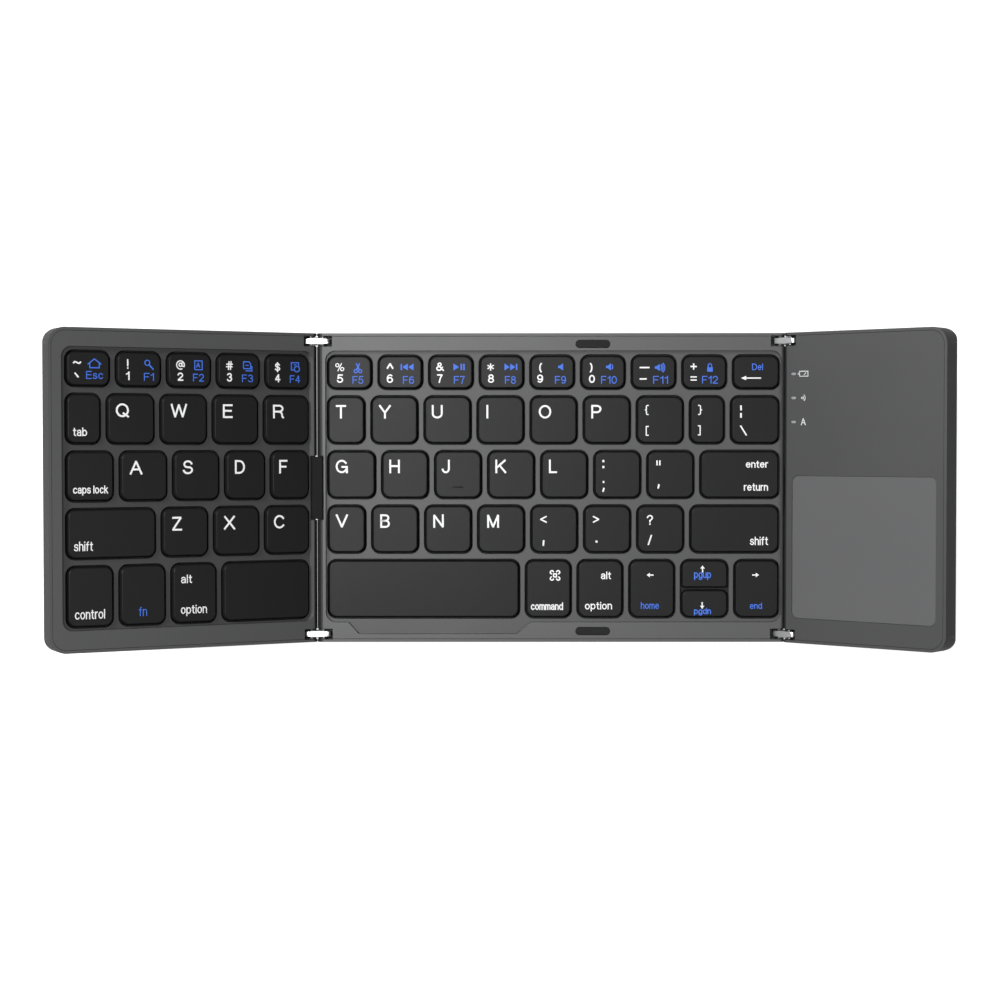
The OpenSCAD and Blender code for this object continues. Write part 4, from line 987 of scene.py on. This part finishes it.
wordLegends = {
    "centre_upper_letter_keys": [
        [letter("T", 2.4, 3.1)], [letter("Y", 2.3, 3.6)], [letter("U", 2.2, 3.3)],
        [letter("I", 2.65, 0.55)], [letter("O", 2.4, 3.8)], [letter("P", 2.2, 3.1)],
        [("{", 2.2, 3.5, 8.6, 11.7, 0.34), ("[", 2.6, 3.5, 2.3, 5.3)],
        [("}", 2.35, 3.65, 8.6, 11.7, 0.34), ("]", 2.3, 3.15, 2.4, 5.5)], []],
    "centre_home_letter_keys": [
        [letter("G", 2.3, 3.7)], [letter("H", 2.2, 3.2)], [letter("J", 2.0, 2.45)],
        [letter("K", 2.15, 3.3)], [letter("L", 2.3, 2.45)],
        [(":", 2.35, 3.05, 9.1, 11.6, 0.6), (";", 2.35, 3.1, 1.9, 5.2, 0.5)], []],
    "centre_lower_letter_keys": [
        [letter("V", 2.3, 3.7)], [letter("B", 2.45, 2.95)], [letter("N", 2.45, 3.2)],
        [letter("M", 2.7, 3.6)], [("<", 2.6, 4.7, 9.1, 11.2, 0.42), (",", 3.35, 4.05, 2.1, 3.8, 0.5)],
        [(">", 2.55, 4.55, 9.1, 11.2, 0.42), (".", 3.3, 4.05, 3.0, 3.75, 0.6)],
        [("?", 2.85, 4.7, 8.45, 11.5, 0.42), ("/", 3.1, 4.4, 2.3, 5.4, 0.42)]],
    "enter_key": [[("enter", 13.7, 20.45, 9.2, 11.3), ("return", 13.1, 20.45, 2.2, 4.4)]],
    "right_shift_key": [[("shift", 18.05, 23.55, 2.3, 4.85)]],
    "command_key": [[("command", 1.45, 11.25, 2.3, 4.6)]],
    "right_option_key": [[("alt", 7.0, 10.1, 11.7, 14.0), ("option", 2.15, 10.4, 1.9, 4.75)]],
    "tab_key": [[("tab", 1.75, 5.9, 2.15, 4.6)]],
    "left_upper_letter_keys": [
        [letter("Q", 2.3, 3.95)], [letter("W", 2.75, 5.0)], [letter("E", 2.75, 3.05)],
        [letter("R", 2.5, 3.5)]],
    "caps_lock_key": [[("caps lock", 1.65, 12.0, 1.65, 4.5)]],
    "left_home_letter_keys": [
        [letter("A", 2.6, 3.8)], [letter("S", 2.6, 3.1)], [letter("D", 2.65, 3.2)],
        [letter("F", 2.25, 2.65)]],
    "left_shift_key": [[("shift", 1.85, 7.45, 2.25, 5.0)]],
    "left_lower_letter_keys": [
        [letter("Z", 2.7, 3.1)], [letter("X", 2.65, 3.55)], [letter("C", 2.4, 3.3)]],
    "control_key": [[("control", 2.0, 10.9, 2.3, 5.1)]],
    "left_option_key": [[("alt", 2.5, 5.9, 11.8, 14.3), ("option", 2.4, 10.5, 2.1, 5.3)]],
}
blueLegends = {
    "backspace_key": [[("Del", 5.6, 8.95, 5.6, 7.6, 0.27)]],
    "fn_key": [[("fn", 5.4, 7.85, 2.6, 5.3)]],
    "arrow_keys": [[("home", 3.4, 8.95, 2.6, 4.7, 0.26)], [("pgdn", 3.8, 9.0, 0.6, 2.9, 0.32)],
                   [("pgup", 3.8, 9.0, 2.4, 4.75, 0.32)], [("end", 4.6, 8.3, 2.6, 4.55, 0.26)]],
}


def addWords(sheet, words, width):
    for text, left, right, bottom, top, *pen in words:
        addWord(sheet, text, (left, bottom), (right, top), pen[0] if pen else width)


# strokes beside the words, by node and key
extraRows = {
    ("left_number_keys", 0): [
        ([(1.95, 6.45), (2.35, 6.85), (2.75, 6.85), (3.3, 6.5), (3.75, 6.5), (4.2, 6.9)], 0.42),
        ([(2.35, 3.75), (3.5, 2.4)], 0.46)],
    ("centre_number_keys", 1): [([(2.6, 6.1), (3.5, 7.6), (4.4, 6.1)], 0.5)],
    ("centre_number_keys", 3): movedRows(icons["star"], 3.25, 6.6),
    ("centre_number_keys", 6): [([(2.3, 6.4), (5.3, 6.4)], 0.46), ([(2.3, 2.95), (4.4, 2.95)], 0.46)],
    ("centre_number_keys", 7): [
        ([(2.35, 6.7), (4.25, 6.7)], 0.42), ([(3.3, 5.75), (3.3, 7.65)], 0.42),
        ([(2.35, 2.6), (4.25, 2.6)], 0.38), ([(2.35, 3.55), (4.25, 3.55)], 0.38)],
    ("centre_upper_letter_keys", 8): [
        ([(2.9, 11.55), (2.9, 10.0)], 0.5), ([(2.9, 9.2), (2.9, 7.8)], 0.5),
        ([(2.75, 5.4), (4.6, 2.4)], 0.42)],
    ("centre_home_letter_keys", 6): [
        ([(2.85, 11.45), (2.85, 9.95)], 0.44), ([(3.7, 11.45), (3.7, 9.95)], 0.44),
        ([(3.45, 4.2), (3.2, 2.9)], 0.5)],
    ("command_key", 0): movedRows(icons["loops"], 8.8, 12.85),
    ("backspace_key", 0): arrowRows(5.3, 3.2, 6.1, (-1, 0)),
    ("arrow_keys", 0): arrowRows(6.2, 12.95, 2.1, (-1, 0)),
    ("arrow_keys", 1): arrowRows(6.3, 3.65, 2.0, (0, -1)),
    ("arrow_keys", 2): arrowRows(6.4, 5.8, 2.1, (0, 1)),
    ("arrow_keys", 3): arrowRows(6.3, 12.95, 2.1, (1, 0)),
}


def makeLegends(node):
    white, blue = newSheet(), newSheet()
    for i, (low, high) in enumerate(boxesOf[node]):
        white["corner"] = blue["corner"] = (low[0] / mm, low[1] / mm)
        if node in ("centre_number_keys", "left_number_keys"):
            words, label, (icon, x, y) = numberLegends[keyPanels[node]][i]
            addWords(white, words, ink["mark"])
            addWords(blue, [label], ink["label"])
            addRows(blue, movedRows(icons[icon], x, y))
        if i < len(wordLegends.get(node, [])):
            addWords(white, wordLegends[node][i], ink["word"])
        if i < len(blueLegends.get(node, [])):
            addWords(blue, blueLegends[node][i], ink["label"])
        addRows(white, extraRows.get((node, i), []))
    place = frames[keyPanels[node]] @ Matrix.Translation((0, 0, -panel["keyDrop"]))
    for sheet, colour in ((white, "white"), (blue, "blue")):
        if sheet["lines"] or sheet["patches"]:
            printPiece(sheet, node + "_" + colour + "_legends", bodyOf(node), place,
                       materials[colour + "Ink"])


for node in keyPanels:
    makeLegends(node)

# raised bar on the J key
homingBar = {"left": 5.2, "width": 3.2, "bottom": 3.1, "depth": 0.45, "height": 0.32, "edge": 0.14}
low, high = boxesOf["centre_home_letter_keys"][2]
bm = bmesh.new()
bmesh.ops.create_cube(bm, size=1)
bmesh.ops.scale(bm, vec=[homingBar[k] * mm for k in ("width", "depth", "height")], verts=bm.verts)
roundOff(bm, bm.edges, homingBar["edge"] * mm)
spot = Vector((low[0] + (homingBar["left"] + homingBar["width"] / 2) * mm,
               low[1] + (homingBar["bottom"] + homingBar["depth"] / 2) * mm, -panel["keyDrop"]))
moveAll(bm, frames["centre"] @ Matrix.Translation(spot))
finishPiece(bm, "homing_bar", "centre_home_letter_keys", materials["key"])
print("legends made")


# hinges, pads, feet and small parts
smallParts = {
    "centre_hinge_brackets": ("bracket", 0.05), "left_hinge_brackets": ("bracket", 0.05),
    "right_hinge_brackets": ("bracket", 0.05),
    "left_cable_cover": ("cableRubber", 0.08),
    "centre_bumpers": ("rubber", 0.18), "centre_feet": ("rubber", 0.2),
    "left_feet": ("rubber", 0.2), "right_feet": ("rubber", 0.2),
    "touchpad": ("touchpad", 0.12), "usb_socket": ("sheetMetal", 0.06),
    "indicator_lights": ("lens", 0.06),
}
for node, (material, width) in smallParts.items():
    dressedCopy(node, material, width * mm)

# links that carry each wing: a bright bar, round-ended from the side and barrel-shaped from above,
# and under it a broader dark core around the pins, which fills the pocket from side to side
hingeLinks = {
    "dressed": {"length": 8.2 * mm, "height": 2.5 * mm, "width": 1.93 * mm, "endWidth": 1.517 * mm,
                "level": 0, "end": 1.247 * mm, "edge": 0.16 * mm, "finish": "linkSteel"},
    "core": {"length": 5.2 * mm, "height": 1.8 * mm, "width": 2.33 * mm, "endWidth": 2.02 * mm,
             "level": -0.3 * mm, "end": 0.3 * mm, "edge": 0.06 * mm, "finish": "bracket"},
}


def addLink(bm, spec, place):
    start = bmesh.new()
    bmesh.ops.create_cube(start, size=1)
    bmesh.ops.scale(start, vec=(spec["length"], spec["width"], spec["height"]), verts=start.verts)
    corners = [e for e in start.edges if abs(e.verts[0].co.y - e.verts[1].co.y) > spec["width"] / 2]
    roundOff(start, corners, spec["end"], 12)
    bmesh.ops.bisect_plane(start, geom=start.verts[:] + start.edges[:] + start.faces[:], dist=1e-7,
                           plane_co=(0, 0, 0), plane_no=(1, 0, 0))
    taper = 2 * (1 - spec["endWidth"] / spec["width"]) / spec["length"]
    for vert in start.verts:
        vert.co.y *= 1 - taper * abs(vert.co.x)
    start.normal_update()
    turns = {e: [abs(f.normal.y) for f in e.link_faces] for e in start.edges}
    roundOff(start, [e for e, (a, b) in turns.items() if abs(a - b) > 0.5], spec["edge"])
    turnOut(start)
    moveAll(start, place @ Matrix.Translation((0, 0, spec["level"])))
    pour(start, bm)


for name in ("left", "right"):
    pivots = [Vector(jointByName[name + end]["pos_m"]) for end in ("_link_fold", "_wing_fold")]
    across = (pivots[1] - pivots[0]) * (-1 if name == "left" else 1)     # towards +X on both sides
    turn = Matrix.Rotation(math.atan2(-across.z, across.x), 4, "Y")
    middle = (pivots[0] + pivots[1]) / 2
    node = name + "_links"
    for kind, spec in hingeLinks.items():
        bm = bmesh.new()
        for y in (-panel["linkY"], panel["linkY"]):
            addLink(bm, spec, Matrix.Translation((middle.x, y, middle.z)) @ turn)
        finishPiece(bm, node + "_" + kind, bodyOf(node), materials[spec["finish"]],
                    [node], weighted=True)

plainParts = {
    "left_hinge_pins": "pinSteel", "right_hinge_pins": "pinSteel",
    "centre_key_plate": "plateSteel", "left_key_plate": "plateSteel",
    "centre_membrane": "membrane", "left_membrane": "membrane",
    "centre_ribbon_tails": "film", "left_ribbon_tail": "film", "right_ribbon_tail": "film",
    "touchpad_board": "board", "main_board": "board", "battery": "pouchFoil",
}
for node, material in plainParts.items():
    data = frame["nodes"][node].data
    data.materials.clear()
    data.materials.append(materials[material])

# rubber domes: those under each key or row are a piece of their own
domes = {"travel": 1.3 * mm, "edge": 0.12 * mm, "spare": 0.04}
for keyNode, panelName in keyPanels.items():
    node = "centre_key_domes" if panelName == "centre" else "left_key_domes"
    place = frames[panelName]
    back = place.inverted()
    bm = smoothCopy(node)
    spare, levels = [], []
    for part in looseParts(bm):
        spots = [back @ vert.co for vert in part]
        middle = sum(spots, Vector()) / len(spots)
        if any(low[0] < middle.x < high[0] and low[1] < middle.y < high[1]
               for low, high in boxesOf[keyNode]):
            levels += [spot.z for spot in spots]
        else:
            spare += part
    bmesh.ops.delete(bm, geom=spare, context="VERTS")
    bevelSharp(bm, domes["edge"])
    piece = finishPiece(bm, keyNode + "_domes", bodyOf(node), materials["dome"], [node])
    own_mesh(piece)

# screws with a six-sided socket in a domed head
screw = {"headRadius": 1.25 * mm, "headHeight": 0.65 * mm, "shank": 0.7 * mm, "socket": 0.62 * mm,
         "socketDepth": 0.4 * mm, "edge": 0.14 * mm}


def addScrew(bm, spot, tip):
    # drawn head down at spot, with its shank up to tip
    start = bmesh.new()
    rings = []
    for radius, sides in ((screw["socket"], 6), (screw["headRadius"], 36)):
        made = bmesh.ops.create_circle(start, cap_ends=False, segments=sides, radius=radius)
        rings.append(list({e for v in made["verts"] for e in v.link_edges}))
    bmesh.ops.bridge_loops(start, edges=rings[0] + rings[1])
    pull(start, rings[0], screw["socketDepth"])
    pull(start, rings[1], screw["headHeight"])
    roundOff(start, [e for e in rings[1] if e.is_valid], screw["edge"])
    bmesh.ops.holes_fill(start, edges=[e for e in start.edges if e.is_boundary], sides=0)
    made = bmesh.ops.create_cone(start, cap_ends=True, segments=24, radius1=screw["shank"],
                                 radius2=screw["shank"], depth=tip - spot.z - screw["headHeight"])
    bmesh.ops.translate(start, verts=made["verts"],
                        vec=(0, 0, (tip - spot.z + screw["headHeight"]) / 2))
    turnOut(start)
    bmesh.ops.translate(start, verts=start.verts, vec=spot)
    pour(start, bm)


for node, panelName in (("centre_screws", "centre"), ("left_screws", "left_wing"),
                        ("right_screws", "right_wing")):
    bm = bmesh.new()
    for low, high in looseBoxes(node, panelName):
        addScrew(bm, Vector(((low[0] + high[0]) / 2, (low[1] + high[1]) / 2, low[2])), high[2])
    moveAll(bm, frames[panelName])
    finishPiece(bm, node + "_turned", bodyOf(node), materials["screwSteel"], [node], 50)

# the cable strip across each gap is two straight halves that meet below the link's middle: one goes from the
# panel, one on to the wing
strip = {"width": 12 * mm, "thickness": 0.3 * mm, "hold": 0.3 * mm, "level": -5.5 * mm, "steps": 14}


def stripHalf(name, start, end, node):
    way = end - start
    bm = bmesh.new()
    bmesh.ops.create_cube(bm, size=1)
    bmesh.ops.scale(bm, vec=(way.length, strip["width"], strip["thickness"]), verts=bm.verts)
    along = [e for e in bm.edges if abs((e.verts[0].co - e.verts[1].co).x) > way.length / 2]
    bmesh.ops.subdivide_edges(bm, edges=along, cuts=strip["steps"], use_grid_fill=True)
    turn = Matrix.Rotation(math.atan2(-way.z, way.x), 4, "Y")
    moveAll(bm, Matrix.Translation((start + end) / 2) @ turn)
    piece = finishPiece(bm, name, None, materials["film"], [node])
    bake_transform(piece)


for side, name in ((-1, "left"), (1, "right")):
    edge = panel["centreWidth"] / 2 - strip["hold"]
    start = frames["centre"] @ Vector((side * edge, 0, strip["level"]))
    end = frames[name + "_wing"] @ Vector((side * strip["hold"], 0, strip["level"]))
    link, wing = jointByName[name + "_link_fold"], jointByName[name + "_wing_fold"]
    across = Vector(wing["pos_m"]) - Vector(link["pos_m"])
    square = Vector((side * across.z, 0, -side * across.x)).normalized()   # straight down from the link
    middle = Vector(link["pos_m"]) + across / 2 - square * (strip["level"] + panel["pivotInset"])
    node = name + "_cable_strip"
    stripHalf(name + "_strip_inner", start, middle, node)
    stripHalf(name + "_strip_outer", middle, end, node)
print("small parts made")


# printed marks beside the lights on the right wing
marks = {"x": 7.2, "batteryY": 34.4, "wirelessY": 27.15, "letterY": 19.9,
         "pen": 0.28, "letterPen": 0.34}
pen = marks["pen"]
battery = [([(-1.4, -0.75), (1.5, -0.75), (1.5, 0.75), (-1.4, 0.75)], pen, True),
           ([(-1.85, -0.3), (-1.85, 0.3)], pen), ([(0.1, -0.35), (0.9, 0.35)], pen)]
wireless = [(bow(-0.6, 0, radius, radius, -52, 52), pen) for radius in (0.62, 1.18)]
wireless.append((bow(-0.6, 0, 0.28, 0.28, 0, 330), None))
sheet = newSheet()
addRows(sheet, movedRows(battery, marks["x"], marks["batteryY"]))
addRows(sheet, movedRows(wireless, marks["x"], marks["wirelessY"]))
x, y = marks["x"], marks["letterY"]
addWord(sheet, "A", (x - 0.9, y - 1.0), (x + 0.8, y + 1.2), marks["letterPen"])
printPiece(sheet, "right_wing_marks", "right_wing", frames["right_wing"], materials["greyInk"])
print("marks made")


# floor and light
studio = {
    "floorColour": (0.5, 0.5, 0.5),
    "glow": 0.82,
    "worldLevel": 0.12,
    "floorSize": 12,
}


def floorMaterial(spec):
    material, tree = newMaterial("floor")
    soft = noise(tree, objectCoords(tree), 0.5, 2)
    colour = mixColour(tree, soft, shade(spec["floorColour"], 0.99), shade(spec["floorColour"], 1.01))
    matte = addNode(tree, "ShaderNodeBsdfDiffuse", None, {"Color": colour})
    glow = addNode(tree, "ShaderNodeEmission", None, {"Color": (1, 1, 1, 1), "Strength": spec["glow"]})
    both = addNode(tree, "ShaderNodeAddShader", None, {0: matte, 1: glow})
    rays = addNode(tree, "ShaderNodeLightPath", None, None, "Is Camera Ray")
    shiny = addNode(tree, "ShaderNodeLightPath", None, None, "Is Glossy Ray")
    seen = rays.math("MAXIMUM", rays, shiny)
    mixed = addNode(tree, "ShaderNodeMixShader", None, {0: seen, 1: matte, 2: both})
    addNode(tree, "ShaderNodeOutputMaterial", None, {"Surface": mixed})
    return material


bm = bmesh.new()
bmesh.ops.create_grid(bm, x_segments=1, y_segments=1, size=studio["floorSize"])
mesh = bpy.data.meshes.new("floor")
bm.to_mesh(mesh)
bm.free()
mesh.materials.append(floorMaterial(studio))
addObject("floor", mesh)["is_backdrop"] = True

world = bpy.data.worlds.new("studio")
bpy.context.scene.world = world
world.use_nodes = True
worldTree = world.node_tree
worldTree.nodes.clear()
white = (1, 1, 1, 1)
dim, bright = (addNode(worldTree, "ShaderNodeBackground", None, {"Color": white, "Strength": level})
               for level in (studio["worldLevel"], 1.0))
seen = addNode(worldTree, "ShaderNodeLightPath", None, None, "Is Camera Ray")
sky = addNode(worldTree, "ShaderNodeMixShader", None, {0: seen, 1: dim, 2: bright})
addNode(worldTree, "ShaderNodeOutputWorld", None, {"Surface": sky})

lamps = {
    "key": {"place": (-0.7, 0.55, 0.85), "size": 0.35, "power": 11.5},
    "overhead": {"place": (-0.17, 0.08, 1.1), "size": 0.26, "power": 6.1},
    "fillLeft": {"place": (-1.5, -0.2, 0.85), "size": 0.8, "power": 0.4},
    "fillRight": {"place": (0.63, -0.15, 1.15), "size": 0.35, "power": 2.5},
}
for name, spec in lamps.items():
    data = bpy.data.lights.new(name, "AREA")
    data.shape = "SQUARE"
    data.size = spec["size"]
    data.energy = spec["power"]
    lamp = addObject(name, data)
    lamp.location = spec["place"]
    lamp.rotation_euler = (-Vector(spec["place"])).to_track_quat("-Z", "Y").to_euler()

bpy.context.scene.view_settings.view_transform = "Standard"
print("studio made")

low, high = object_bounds()
